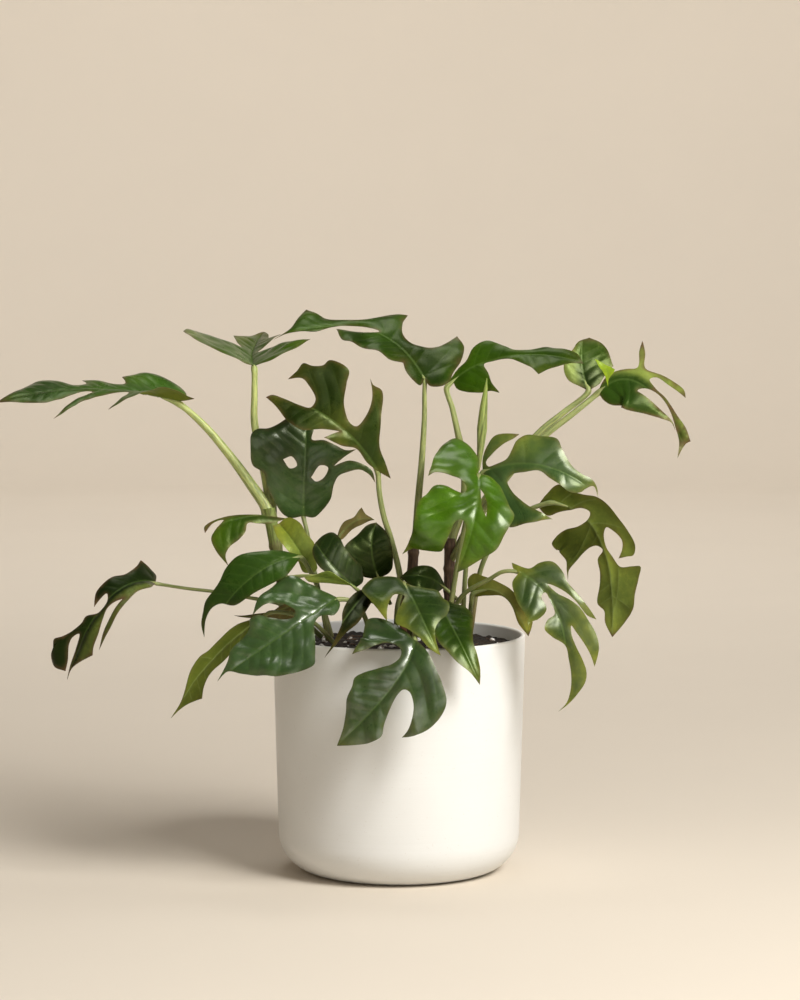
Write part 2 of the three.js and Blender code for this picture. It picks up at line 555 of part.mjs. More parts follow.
// Swaps the diagonal of each pair of triangles where that makes them less thin.
function swapDiagonals(points, triangles) {
  for (let swapped = true; swapped;) {
    swapped = false;
    const owners = new Map();
    for (const triangle of triangles) {
      for (let i = 0; i < 3; i += 1) {
        owners.set(`${triangle[i]},${triangle[(i + 1) % 3]}`, triangle);
      }
    }
    for (const triangle of triangles) {
      for (let i = 0; i < 3 && !swapped; i += 1) {
        const [a, b, c] = [triangle[i], triangle[(i + 1) % 3], triangle[(i + 2) % 3]];
        const other = owners.get(`${b},${a}`);
        if (!other) continue;
        const d = other.find((v) => v !== a && v !== b);
        const [ca, cb] = [a, b].map((v) => points[v].clone().sub(points[c]));
        const [da, db] = [a, b].map((v) => points[v].clone().sub(points[d]));
        if (ca.cross(cb) * da.dot(db) + ca.dot(cb) * db.cross(da) < -swapLimit) {
          triangle.splice(0, 3, a, d, c);
          other.splice(0, 3, d, b, c);
          swapped = true;
        }
      }
      if (swapped) break;
    }
  }
}

// Cuts triangles in two until no inside edge is longer than the limit.
function cutLongEdges(points, triangles, marginCount) {
  const isMargin = (a, b) => {
    const n = marginCount;
    return a < n && b < n && ((a + 1) % n === b || (b + 1) % n === a);
  };
  for (;;) {
    let longest = longestEdge;
    let cut = null;
    for (const triangle of triangles) {
      for (let i = 0; i < 3; i += 1) {
        const a = triangle[i];
        const b = triangle[(i + 1) % 3];
        const size = points[a].distanceTo(points[b]);
        if (size > longest && !isMargin(a, b)) {
          longest = size;
          cut = [a, b];
        }
      }
    }
    if (!cut) return;
    const [a, b] = cut;
    const middle = points.length;
    points.push(points[a].clone().lerp(points[b], 0.5));
    for (const triangle of triangles.slice()) {
      if (triangle.includes(a) && triangle.includes(b)) {
        const half = triangle.map((v) => (v === a ? middle : v));
        triangle.splice(0, 3, ...triangle.map((v) => (v === b ? middle : v)));
        triangles.push(half);
      }
    }
  }
}

// Fills a flat outline with triangles that all turn anticlockwise.
function fillOutline(outline) {
  const points = outline.slice();
  const triangles = THREE.ShapeUtils.triangulateShape(points, []).map(([a, b, c]) => (
    turn(points[a], points[b], points[c]) > 0 ? [a, b, c] : [a, c, b]
  ));
  swapDiagonals(points, triangles);
  cutLongEdges(points, triangles, outline.length);
  swapDiagonals(points, triangles);
  return { points, triangles };
}

// A blade as a thin closed solid: upper face, lower face and the rim between them.
function bladeGeometry(blade) {
  const outline = smoothMargin(blade.leaf);
  const { points, triangles } = fillOutline(outline);
  const count = points.length;
  const half = leafThickness / 2;
  const position = [];
  for (const side of [half, -half]) {
    for (const p of points) {
      const out = blade.normalAt(p.x, p.y).multiplyScalar(side);
      position.push(...blade.at(p.x, p.y).add(out).toArray());
    }
  }
  const index = [];
  for (const [a, b, c] of triangles) {
    index.push(a, b, c, a + count, c + count, b + count);
  }
  outline.forEach((_, i) => {
    const j = (i + 1) % outline.length;
    index.push(i + count, j + count, j, i + count, j, i);
  });
  const geometry = new THREE.BufferGeometry();
  geometry.setAttribute("position", new THREE.Float32BufferAttribute(position, 3));
  geometry.setIndex(index);
  return placeGeometry(geometry);
}

const blades = {};
for (const leaf of leaves) {
  const blade = new Blade(leaf);
  blades[leaf.name] = blade;
  addMesh(leaf.name, bladeGeometry(blade), leaf.color ?? leafGreen, leafRoughness);
}

// ---- stalks and stems ----

// A round tube along a smooth curve through the points.
function tube(points, radius) {
  const curve = new THREE.CatmullRomCurve3(points, false, "centripetal");
  const section = new THREE.Shape();
  for (let i = 0; i < stalkSides; i += 1) {
    const a = (2 * Math.PI * i) / stalkSides;
    section[i ? "lineTo" : "moveTo"](radius * Math.cos(a), radius * Math.sin(a));
  }
  const steps = Math.max(2, Math.round(curve.getLength() / stalkStep));
  return new THREE.ExtrudeGeometry(section, { steps, bevelEnabled: false, extrudePath: curve });
}

function addTube(name, points, radius, color) {
  const geometry = tube(points.map((p) => new THREE.Vector3(...p)), radius);
  addMesh(name, placeGeometry(geometry), color, stalkRoughness);
}

const stalkApproach = 7; // last stretch of a stalk, in line with the midrib

// A stalk runs through its points, the first at its foot, and ends just under its blade's base.
function addStalk(name, leafName, points) {
  const { point, tangent, normal } = blades[leafName].frame(0);
  const under = leafThickness / 2 + stalkRadius + jointGap;
  const end = point.clone().addScaledVector(normal, -under);
  const approach = end.clone().addScaledVector(tangent, -stalkApproach);
  addTube(name, [...points, approach.toArray(), end.toArray()], stalkRadius, stalkGreen);
}

// Each stem's route, from the soil up.
const stems = [
  ["stem_left", [[-72, -22, 8], [-77, -20, 33], [-79, -16, 53], [-83, -13, 71], [-87, -9, 91]]],
  ["stem_middle", [[7, -14, 5], [8, -13, 32], [10, -12, 67]]],
  ["stem_right", [[36, -10, 5], [34, -10, 32], [34, -8, 71]]],
];
for (const [name, route] of stems) {
  addTube(name, route, stemRadius, stemBrown);
}

// The route of each stalk from its foot. A stalk has the number of the leaf that it carries.
const stalks = [
  ["01", [[-89, -7, 94], [-97, -6, 106], [-113, -4, 128], [-131, -3, 149]]],
  ["02", [[-86, -3, 95], [-89, 0, 113], [-93, 2, 130], [-97, 3, 150], [-97, 4, 169]]],
  ["03", [[11, -12, 69], [13, -12, 100], [15, -10, 122], [17, -8, 155], [17, -8, 171]]],
  ["04", [[36, -4, 73], [44, 2, 98], [44, 8, 123], [40, 10, 141], [36, 12, 159]]],
  ["05", [[40, -2, 68], [53, 4, 91], [75, 10, 120], [96, 14, 144], [111, 16, 156]]],
  ["06", [[39, -14, 66], [54, -8, 88], [76, 0, 118], [98, 6, 141], [116, 8, 155]]],
  ["08", [[3, -30, 7], [1, -34, 48], [-5, -34, 74], [-10, -34, 90], [-13, -34, 106]]],
  ["09", [[-45, -14, 7], [-54, -12, 39], [-60, -8, 69], [-62, -7, 79]]],
  ["11", [[-47, -36, 8], [-53, -44, 42], [-59, -47, 56]]],
  ["12", [[-51, -30, 9], [-76, -30, 30], [-99, -26, 35], [-123, -25, 39], [-141, -24, 41]]],
  ["13", [[-42, -44, 6], [-57, -52, 22], [-72, -56, 28]]],
  ["14", [[-18, -36, 7], [-24, -56, 29], [-32, -68, 38]]],
  ["15", [[9, -42, 5], [9, -62, 23], [10, -84, 28]]],
  ["16", [[-2, -40, 6], [-1, -54, 33], [2, -60, 44]]],
  ["17", [[19, -34, 5], [20, -46, 28]]],
  ["18", [[30, -44, 5], [39, -42, 61], [47, -50, 102]]],
  ["19", [[42, -20, 8], [45, -26, 60], [50, -34, 94]]],
  ["20", [[48, 0, 8], [57, -6, 58], [76, -10, 86]]],
  ["21", [[27, -18, 5], [42, -40, 38], [59, -52, 50], [69, -58, 56]]],
  ["22", [[41, 8, 5], [47, -12, 21], [48, -31, 32]]],
];
for (const [number, route] of stalks) {
  addStalk(`stalk_${number}`, `leaf_${number}`, route);
}

// ---- the rolled new leaf: a spindle ----

const newLeafSides = 10;
const newLeafFoot = new THREE.Vector3(53, -10, 119);
const newLeafTowards = new THREE.Vector3(57, -12, 163); // a point that the spindle aims at
// The spindle's outline: part of its widest radius, at part of its length.
const newLeafOutline = [
  [0, 0], [0.35, 0.02], [0.6, 0.2], [1, 0.45], [0.75, 0.7], [0.35, 0.9], [0, 1],
];

function newLeafGeometry() {
  const profile = newLeafOutline.map(
    ([width, height]) => new THREE.Vector2(width * newLeafRadius, height * newLeafLength),
  );
  const geometry = new THREE.LatheGeometry(profile, newLeafSides);
  const up = newLeafTowards.clone().sub(newLeafFoot).normalize();
  const turn = new THREE.Quaternion().setFromUnitVectors(new THREE.Vector3(0, 1, 0), up);
  geometry.applyQuaternion(turn);
  geometry.translate(newLeafFoot.x, newLeafFoot.y, newLeafFoot.z);
  return placeGeometry(geometry);
}

addMesh("new_leaf", newLeafGeometry(), youngGreen, stalkRoughness);

export default plant;
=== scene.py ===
"""Looks of a potted climbing aroid: glazed pot, soil, stems, stalks and deeply lobed leaves.

The blades are drawn flat, in millimetres, and bent around their midribs. Everything else is in
metres, in the frame of the model: +Z up, the origin under the middle of the pot's foot, -Y in front.
"""

import math
import random

import bmesh
import bpy
import numpy as np
from bpy.props import FloatProperty, FloatVectorProperty, IntProperty, PointerProperty
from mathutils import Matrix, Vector, geometry, noise


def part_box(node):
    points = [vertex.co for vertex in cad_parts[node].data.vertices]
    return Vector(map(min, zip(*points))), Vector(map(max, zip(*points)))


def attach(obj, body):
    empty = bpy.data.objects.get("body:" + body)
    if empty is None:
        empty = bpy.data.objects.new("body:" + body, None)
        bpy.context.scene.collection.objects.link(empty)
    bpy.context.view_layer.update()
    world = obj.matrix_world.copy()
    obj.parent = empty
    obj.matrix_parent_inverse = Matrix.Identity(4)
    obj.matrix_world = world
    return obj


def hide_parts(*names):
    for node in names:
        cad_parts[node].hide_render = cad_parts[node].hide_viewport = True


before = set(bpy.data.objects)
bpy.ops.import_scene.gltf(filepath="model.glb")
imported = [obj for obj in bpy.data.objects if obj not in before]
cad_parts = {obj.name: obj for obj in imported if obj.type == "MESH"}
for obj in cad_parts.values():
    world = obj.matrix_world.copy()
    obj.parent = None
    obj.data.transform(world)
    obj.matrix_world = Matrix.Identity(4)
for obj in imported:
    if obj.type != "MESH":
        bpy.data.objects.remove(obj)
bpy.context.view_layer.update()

bl_info = {
    "name": "Potted climbing plant",
    "version": (1, 0, 0),
    "blender": (4, 5, 0),
    "location": "View3D > Sidebar > Plant",
    "description": "Builds a glazed pot, its soil and a plant with deeply lobed leaves",
    "category": "Add Mesh",
}

MM = 0.001
POT_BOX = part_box("pot")
SOIL_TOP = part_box("potting_soil")[1].z
RIM = POT_BOX[1].x
DRAWN_RIM = 85 * MM  # rim radius that the plant's places are drawn for
FRONT = -1  # the plant's front looks along -Y


# ---- sizes and colours that a user would change ----


def colour(name, description, default):
    """A colour setting, in linear red, green and blue."""
    return FloatVectorProperty(
        name=name, description=description, default=default, size=3, min=0.0, max=1.0, subtype="COLOR"
    )


def length(name, description, millimetres):
    """A length setting, kept in metres."""
    return FloatProperty(
        name=name, description=description, default=millimetres * MM, min=0.0, unit="LENGTH", precision=5
    )


class PotSettings(bpy.types.PropertyGroup):
    """Sizes and glaze of the pot."""

    wall: length("Wall", "Thickness of the wall and floor", 3.0)
    foot_round: length("Foot round", "Radius between the wall and the foot", 26.6)
    taper: length("Taper", "How much narrower the wall is above its foot", 3.6)
    segments: IntProperty(name="Segments", description="Faces around the pot", default=160, min=24)
    glaze: colour("Glaze", "Main colour of the glaze", (0.745, 0.755, 0.745))
    glaze_warm: colour("Warm glaze", "Colour where the glaze is thinner", (0.710, 0.710, 0.695))
    speck: colour("Specks", "Colour of the fine specks in the glaze", (0.42, 0.33, 0.23))


class SoilSettings(bpy.types.PropertyGroup):
    """Potting soil and what lies in it."""

    relief: length("Relief", "Height of the crumbs", 2.2)
    rings: IntProperty(name="Rings", description="Rings of faces across the top", default=58, min=8)
    perlite_count: IntProperty(name="Perlite", description="Number of perlite grains", default=96, min=0)
    bark_count: IntProperty(name="Bark", description="Number of bark chips", default=90, min=0)
    fibre_count: IntProperty(name="Fibres", description="Number of root and coir fibres", default=60, min=0)
    dark: colour("Dark soil", "Colour of moist soil", (0.008, 0.006, 0.0045))
    light: colour("Light soil", "Colour of dry crumbs", (0.05, 0.033, 0.021))
    perlite: colour("Perlite", "Colour of the perlite", (0.78, 0.76, 0.71))
    bark: colour("Bark", "Colour of the bark chips", (0.11, 0.055, 0.028))


class LeafSettings(bpy.types.PropertyGroup):
    """How the blades are cut, and their colours."""

    thickness: length("Thickness", "Thickness of a blade away from its margin", 0.6)
    spacing: length("Spacing", "Distance between the points inside a blade", 2.0)
    margin_step: length("Margin step", "Distance between the points of a margin", 1.3)
    vein_depth: length("Vein depth", "Depth of the side veins in the upper face", 0.15)
    pucker: length("Pucker", "Height of the blade between its veins", 0.4)
    fresh: colour("Fresh", "Upper side of a young full-grown blade", (0.070, 0.175, 0.006))
    mature: colour("Mature", "Upper side of a usual blade", (0.026, 0.066, 0.006))
    # Deep and bluish are partly the own colour of old blades and partly painted light: deep holds painted
    # shade, and bluish painted light with some painted sheen.
    deep: colour("Deep", "Upper side of an old shaded blade", (0.011, 0.025, 0.004))
    bluish: colour("Bluish", "Upper side of an old blade in the light", (0.030, 0.062, 0.016))
    pale: colour("Pale", "Underside of a young blade", (0.170, 0.220, 0.045))
    olive: colour("Olive", "Underside of a usual blade", (0.085, 0.110, 0.012))
    tan: colour("Tan", "Underside of an old blade", (0.120, 0.100, 0.035))
    young: colour("Young", "The newest open blade", (0.250, 0.400, 0.015))
    yellow: colour("Yellow", "Lobe tips that turn yellow", (0.330, 0.360, 0.040))
    brown: colour("Brown", "Dry margins", (0.100, 0.055, 0.030))
    vein: colour("Vein", "Veins in the upper face", (0.110, 0.180, 0.040))
    underside_vein: colour("Underside vein", "Veins in the lower face", (0.200, 0.250, 0.080))


class StalkSettings(bpy.types.PropertyGroup):
    """Colours and cut of the stems and stalks."""

    sides: IntProperty(name="Sides", description="Faces around a stalk", default=20, min=6)
    step: length("Step", "Distance between the rings of a stalk", 2.0)
    green: colour("Green", "A stalk's lit side", (0.310, 0.350, 0.125))
    shade: colour("Shade", "A stalk's darker streaks", (0.130, 0.170, 0.035))
    bark: colour("Bark", "A stem's old bark", (0.085, 0.048, 0.026))
    bark_light: colour("Light bark", "Ridges of a stem's bark", (0.190, 0.125, 0.070))
    red: colour("Red", "The flush at the foot of some stalks", (0.230, 0.085, 0.050))


class StageSettings(bpy.types.PropertyGroup):
    """Floor, light and camera."""

    floor: colour("Floor", "Colour of the floor and its rising edge", (0.755, 0.680, 0.580))
    radius: FloatProperty(name="Radius", description="Radius of the floor", default=4.2, unit="LENGTH")
    key: FloatProperty(name="Key light", description="Watts of the light at the front right", default=61.0)
    fill: FloatProperty(name="Fill light", description="Watts of the light in front", default=7.0)
    top: FloatProperty(name="Top light", description="Watts of the light overhead", default=6.5)
    backdrop: FloatProperty(
        name="Backdrop light", description="Watts of the light on the far edge", default=60.0
    )
    sky: FloatProperty(name="Sky", description="Strength of the light from all round", default=0.03)
    lens: FloatProperty(name="Lens", description="Focal length in millimetres", default=118.3)
    camera_height: FloatProperty(
        name="Camera height", description="Above the floor", default=0.4322, unit="LENGTH"
    )
    camera_distance: FloatProperty(
        name="Camera distance", description="From the pot's axis", default=2.2, unit="LENGTH"
    )
    camera_tilt: FloatProperty(
        name="Camera tilt",
        description="How far the camera looks down",
        default=math.radians(4.72),
        subtype="ANGLE",
    )


# ---- meshes and pieces ----


def deselect():
    """Leaves object mode with nothing selected."""
    if bpy.context.mode != "OBJECT":
        bpy.ops.object.mode_set(mode="OBJECT")
    bpy.ops.object.select_all(action="DESELECT")


def activate(obj):
    """Selects one object alone."""
    deselect()
    obj.select_set(True)
    bpy.context.view_layer.objects.active = obj


def mesh_object(name, points, faces, materials):
    """A smooth new mesh object with its place in its mesh."""
    mesh = bpy.data.meshes.new(name)
    mesh.from_pydata([tuple(p) for p in points], [], [tuple(f) for f in faces])
    mesh.update()
    obj = bpy.data.objects.new(name, mesh)
    bpy.context.scene.collection.objects.link(obj)
    for material in materials:
        mesh.materials.append(material)
    mesh.shade_smooth()
    return obj


def add_values(mesh, name, values):
    """A number at each point of the mesh."""
    attribute = mesh.attributes.new(name, "FLOAT", "POINT")
    attribute.data.foreach_set("value", np.asarray(values, np.float32))


def add_colours(mesh, name, colours):
    """A colour at each point of the mesh."""
    attribute = mesh.attributes.new(name, "FLOAT_COLOR", "POINT")
    flat = np.c_[np.asarray(colours, np.float32), np.ones(len(colours), np.float32)].ravel()
    attribute.data.foreach_set("color", flat)


def add_uv(mesh, name, uv):
    """A UV map from one pair of numbers at each point."""
    layer = mesh.uv_layers.new(name=name)
    corners = np.empty(len(mesh.loops), np.int32)
    mesh.loops.foreach_get("vertex_index", corners)
    layer.data.foreach_set("uv", np.asarray(uv, np.float32)[corners].ravel())


def finish_piece(obj, slot, *nodes):
    """Puts a finished piece on the plant's body in place of its plain solids."""
    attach(obj, "root")
    if nodes:
        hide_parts(*nodes)


def place(points):
    """Points drawn from the soil's middle, moved onto the soil and spread with the pot's rim."""
    points = np.array(points, float)
    out = np.hypot(points[..., 0], points[..., 1])
    grown = RIM - DRAWN_RIM
    factor = np.where(out < DRAWN_RIM, RIM / DRAWN_RIM, (out + grown) / np.maximum(out, 1e-9))
    points[..., 0] *= factor
    points[..., 1] *= factor
    points[..., 2] += SOIL_TOP
    return points


def unit(vectors):
    """Vectors made one long."""
    vectors = np.asarray(vectors, float)
    return vectors / np.maximum(np.linalg.norm(vectors, axis=-1, keepdims=True), 1e-12)


def smoothstep(low, high, values):
    """Rises smoothly from 0 at low to 1 at high."""
    t = np.clip((np.asarray(values, float) - low) / (high - low), 0.0, 1.0)
    return t * t * (3.0 - 2.0 * t)


def through_points(points, counts):
    """A centripetal curve through the points, cut into the given count of pieces for each stretch."""
    points = [np.asarray(p, float) for p in points]
    out = []
    for i, count in enumerate(counts):
        b, c = points[i], points[i + 1]
        a = points[i - 1] if i else 2 * b - c
        d = points[i + 2] if i + 2 < len(points) else 2 * c - b
        if len(points) == 2:
            out += [b + (c - b) * j / count for j in range(count)]
            continue
        ab, bc, cd = (max(np.linalg.norm(v) ** 0.5, 1e-4) for v in (b - a, c - b, d - c))
        start = ((b - a) / ab - (c - a) / (ab + bc) + (c - b) / bc) * bc
        end = ((c - b) / bc - (d - b) / (bc + cd) + (d - c) / cd) * bc
        for j in range(count):
            w = j / count
            out.append(
                b + start * w + (3 * (c - b) - 2 * start - end) * w**2 + (2 * (b - c) + start + end) * w**3
            )
    out.append(points[-1])
    return np.array(out)


def cut_curve(points, step):
    """The curve through the points with pieces of about one step."""
    gaps = [np.linalg.norm(np.subtract(b, a)) for a, b in zip(points, points[1:])]
    return through_points(points, [max(1, round(gap / step)) for gap in gaps])


def tube(route, radii, sides, flat=1.0, lean=None):
    """Points and faces of a closed tube along a route, each ring with its own radius.

    Also gives each point's share of the turn and its length along the route.
    """
    route = np.asarray(route, float)
    along = unit(np.gradient(route, axis=0))
    side = np.cross(along[0], (0.0, 0.0, 1.0) if lean is None else lean)
    if np.linalg.norm(side) < 0.1:
        side = np.cross(along[0], (0.0, 1.0, 0.0))
    run = np.r_[0.0, np.cumsum(np.linalg.norm(np.diff(route, axis=0), axis=1))]
    rings = []
    for point, direction, radius in zip(route, along, radii):
        side = unit(side - np.dot(side, direction) * direction)
        up = np.cross(side, direction)
        turn = np.linspace(0, 2 * np.pi, sides, endpoint=False)
        ring = np.cos(turn)[:, None] * side + np.sin(turn)[:, None] * up * flat
        rings.append(point + ring * radius)
    points = np.concatenate([*rings, route[:1], route[-1:]])
    faces = []
    count = len(rings)
    for i in range(count - 1):
        for j in range(sides):
            k = (j + 1) % sides
            faces.append((i * sides + j, i * sides + k, (i + 1) * sides + k, (i + 1) * sides + j))
    foot, end = count * sides, count * sides + 1
    last = (count - 1) * sides
    for j in range(sides):
        k = (j + 1) % sides
        faces.append((foot, k, j))
        faces.append((end, last + j, last + k))
    turns = np.r_[np.tile(np.arange(sides) / sides, count), 0.0, 0.0]
    runs = np.r_[np.repeat(run, sides), run[0], run[-1]]
    return points, faces, np.c_[turns, runs]


# ---- materials ----


class Tree:
    """Short ways to place and link the nodes of one material or group."""

    def __init__(self, tree):
        self.tree = tree

    def node(self, kind, values=None, **settings):
        """A new node with its settings and with numbers or links in its sockets."""
        node = self.tree.nodes.new(kind)
        for key, value in settings.items():
            setattr(node, key, value)
        for key, value in (values or {}).items():
            self.put(node.inputs[key], value)
        return node

    def put(self, socket, value):
        """Links a socket to another, or sets its number or colour."""
        if isinstance(value, bpy.types.NodeSocket):
            self.tree.links.new(value, socket)
        elif socket.type == "RGBA":
            socket.default_value = (*value, 1.0)
        else:
            socket.default_value = value

    def math(self, operation, a, b=0.0, c=0.0, clamp=False):
        """One sum of up to three numbers."""
        values = {0: a, 1: b} if operation != "MULTIPLY_ADD" else {0: a, 1: b, 2: c}
        return self.node("ShaderNodeMath", values, operation=operation, use_clamp=clamp).outputs[0]

    def rise(self, value, low, high, start=0.0, end=1.0):
        """A value that goes smoothly from start to end between low and high."""
        values = {"Value": value, "From Min": low, "From Max": high, "To Min": start, "To Max": end}
        return self.node("ShaderNodeMapRange", values, interpolation_type="SMOOTHSTEP").outputs["Result"]

    def mix(self, share, a, b, blend="MIX"):
        """Two colours mixed."""
        node = self.node("ShaderNodeMix", data_type="RGBA", blend_type=blend)
        self.put(node.inputs[0], share)
        self.put(node.inputs[6], a)
        self.put(node.inputs[7], b)
        return node.outputs[2]

    def tinted(self, share, base, tone, tint):
        """A share of the tone times a tint, laid over a base colour."""
        return self.mix(share, base, self.mix(1.0, tone, tint, "MULTIPLY"))

    def noise(self, vector, scale, detail=3.0, rough=0.55, stretch=0.0):
        """Cloudy noise, from about 0.3 to 0.7."""
        values = {"Vector": vector, "Scale": scale, "Detail": detail, "Roughness": rough}
        values["Distortion"] = stretch
        return self.node("ShaderNodeTexNoise", values).outputs["Fac"]

    def cells(self, vector, scale, feature="F1"):
        """Distance to the nearest of scattered points."""
        return self.node("ShaderNodeTexVoronoi", {"Vector": vector, "Scale": scale}, feature=feature).outputs[
            "Distance"
        ]

    def attribute(self, name, output="Fac"):
        """A number or colour of the mesh."""
        return self.node("ShaderNodeAttribute", attribute_name=name).outputs[output]

    def uv(self, name):
        """The piece's own map."""
        return self.node("ShaderNodeUVMap", uv_map=name).outputs["UV"]

    def place(self, vector, scale):
        """A vector stretched along its axes."""
        return self.node("ShaderNodeMapping", {"Vector": vector, "Scale": scale}).outputs["Vector"]

    def bump(self, height, strength, distance, normal=None):
        """A bump of a height given in parts of a distance."""
        values = {"Height": height, "Strength": strength, "Distance": distance}
        if normal is not None:
            values["Normal"] = normal
        return self.node("ShaderNodeBump", values).outputs["Normal"]

    def group(self, group, values):
        """A shared effect placed here with its own values."""
        node = self.tree.nodes.new("ShaderNodeGroup")
        node.node_tree = group
        for key, value in values.items():
            self.put(node.inputs[key], value)
        return node


def new_group(name, inputs, outputs):
    """An empty shared effect with named sockets, and its first and last nodes."""
    group = bpy.data.node_groups.new(name, "ShaderNodeTree")
    for direction, sockets in (("INPUT", inputs), ("OUTPUT", outputs)):
        for socket_name, kind in sockets:
            group.interface.new_socket(name=socket_name, in_out=direction, socket_type="NodeSocket" + kind)
    tree = Tree(group)
    return tree, tree.node("NodeGroupInput"), tree.node("NodeGroupOutput")


def new_material(name, **shader_values):
    """A material with a bare shader whose constant values are set on its own sockets."""
    material = bpy.data.materials.new(name)
    material.use_nodes = True
    tree = Tree(material.node_tree)
    shader = next(n for n in material.node_tree.nodes if n.type == "BSDF_PRINCIPLED")
    for key, value in shader_values.items():
        shader.inputs[key.replace("_", " ")].default_value = value
    return material, tree, shader


def once(maker):
    """Keeps what a maker without arguments makes, so that it is made only once."""
    kept = []

    def kept_maker():
        if not kept:
            kept.append(maker())
        return kept[0]

    return kept_maker


@once
def mottle_group():
    """Cloudy change between two colours, with a finer cloud inside it."""
    tree, start, end = new_group(
        "cloudy change",
        [
            ("Vector", "Vector"), ("Scale", "Float"), ("Spread", "Float"),
            ("Dark", "Color"), ("Light", "Color"),
        ],
        [("Colour", "Color"), ("Cloud", "Float")],
    )
    vector, scale = start.outputs["Vector"], start.outputs["Scale"]
    broad = tree.noise(vector, scale, 2.0)
    fine = tree.noise(vector, tree.math("MULTIPLY", scale, 5.0), 4.0, 0.65)
    cloud = tree.math("MULTIPLY_ADD", fine, 0.35, tree.math("MULTIPLY", broad, 0.65))
    middle = tree.math("SUBTRACT", cloud, 0.5)
    spread = tree.math("MULTIPLY_ADD", middle, start.outputs["Spread"], 0.5, clamp=False)
    spread = tree.math("MAXIMUM", tree.math("MINIMUM", spread, 1.0), 0.0)
    tree.put(end.inputs["Colour"], tree.mix(spread, start.outputs["Dark"], start.outputs["Light"]))
    tree.put(end.inputs["Cloud"], spread)
    return tree.tree


@once
def skin_group():
    """Fine relief of living plant skin: small cells on a slightly uneven surface."""
    tree, start, end = new_group(
        "plant skin", [("Vector", "Vector"), ("Cell", "Float")], [("Height", "Float")]
    )
    cells = tree.cells(start.outputs["Vector"], start.outputs["Cell"])
    wave = tree.noise(start.outputs["Vector"], tree.math("MULTIPLY", start.outputs["Cell"], 0.13), 3.0)
    tree.put(end.inputs["Height"], tree.math("MULTIPLY_ADD", cells, 0.25, wave))
    return tree.tree


@once
def streak_group():
    """Streaks along a stalk or a stem, from its map of turn and length in metres."""
    tree, start, end = new_group(
        "streaks along",
        [("Vector", "Vector"), ("Around", "Float"), ("Along", "Float")],
        [("Streak", "Float")],
    )
    apart = tree.node("ShaderNodeSeparateXYZ", {0: start.outputs["Vector"]})
    angle = tree.math("MULTIPLY", apart.outputs["X"], 2 * math.pi)
    ring = tree.node("ShaderNodeCombineXYZ")
    tree.put(ring.inputs["X"], tree.math("MULTIPLY", tree.math("COSINE", angle), start.outputs["Around"]))
    tree.put(ring.inputs["Y"], tree.math("MULTIPLY", tree.math("SINE", angle), start.outputs["Around"]))
    tree.put(ring.inputs["Z"], tree.math("MULTIPLY", apart.outputs["Y"], start.outputs["Along"]))
    tree.put(end.inputs["Streak"], tree.noise(ring.outputs["Vector"], 1.0, 4.0, 0.6))
    return tree.tree


# ---- how a blade is drawn and bent ----
# A blade is drawn flat, in millimetres: the first number of a margin point is across the midrib,
# minus on the left, and the second is along it from the base. TIP marks a point of the margin that
# is sharp. The rib is the midrib's base, middle and tip, x y z from the soil's middle. The face is
# the way that the upper side looks, at the base and the tip if they differ. Fold is how many degrees
# each half is lifted from flat, left and right, one number or a list from base to tip. Curl is how
# many more degrees it turns in each 50 mm outwards. Ripple is the height of the waves in the margin.
# A petiole is the short stalk of a blade that has no stalk of its own. Holes are closed lists of flat
# points. Upper and under name the colours of the two sides, at the base and the tip if they differ,
# and left names the colour of the upper side's left half where that is turned over. Shade makes all
# of them lighter above 1 and darker below it; it is partly the blade's own tone and partly painted
# light and shade over the whole blade. Gloss is the weight of the shiny coat. Yellow is how far its
# lobe tips have turned yellow, and brown is how far its margin has dried. Sway scales the broad
# unevenness of the blade and the height of its surface between the veins.

TIP = True
CURL_LENGTH = 50.0
RIPPLE_LENGTH = 42.0
RIPPLE_REACH = 30.0
RIPPLE_LIMIT = 1.5


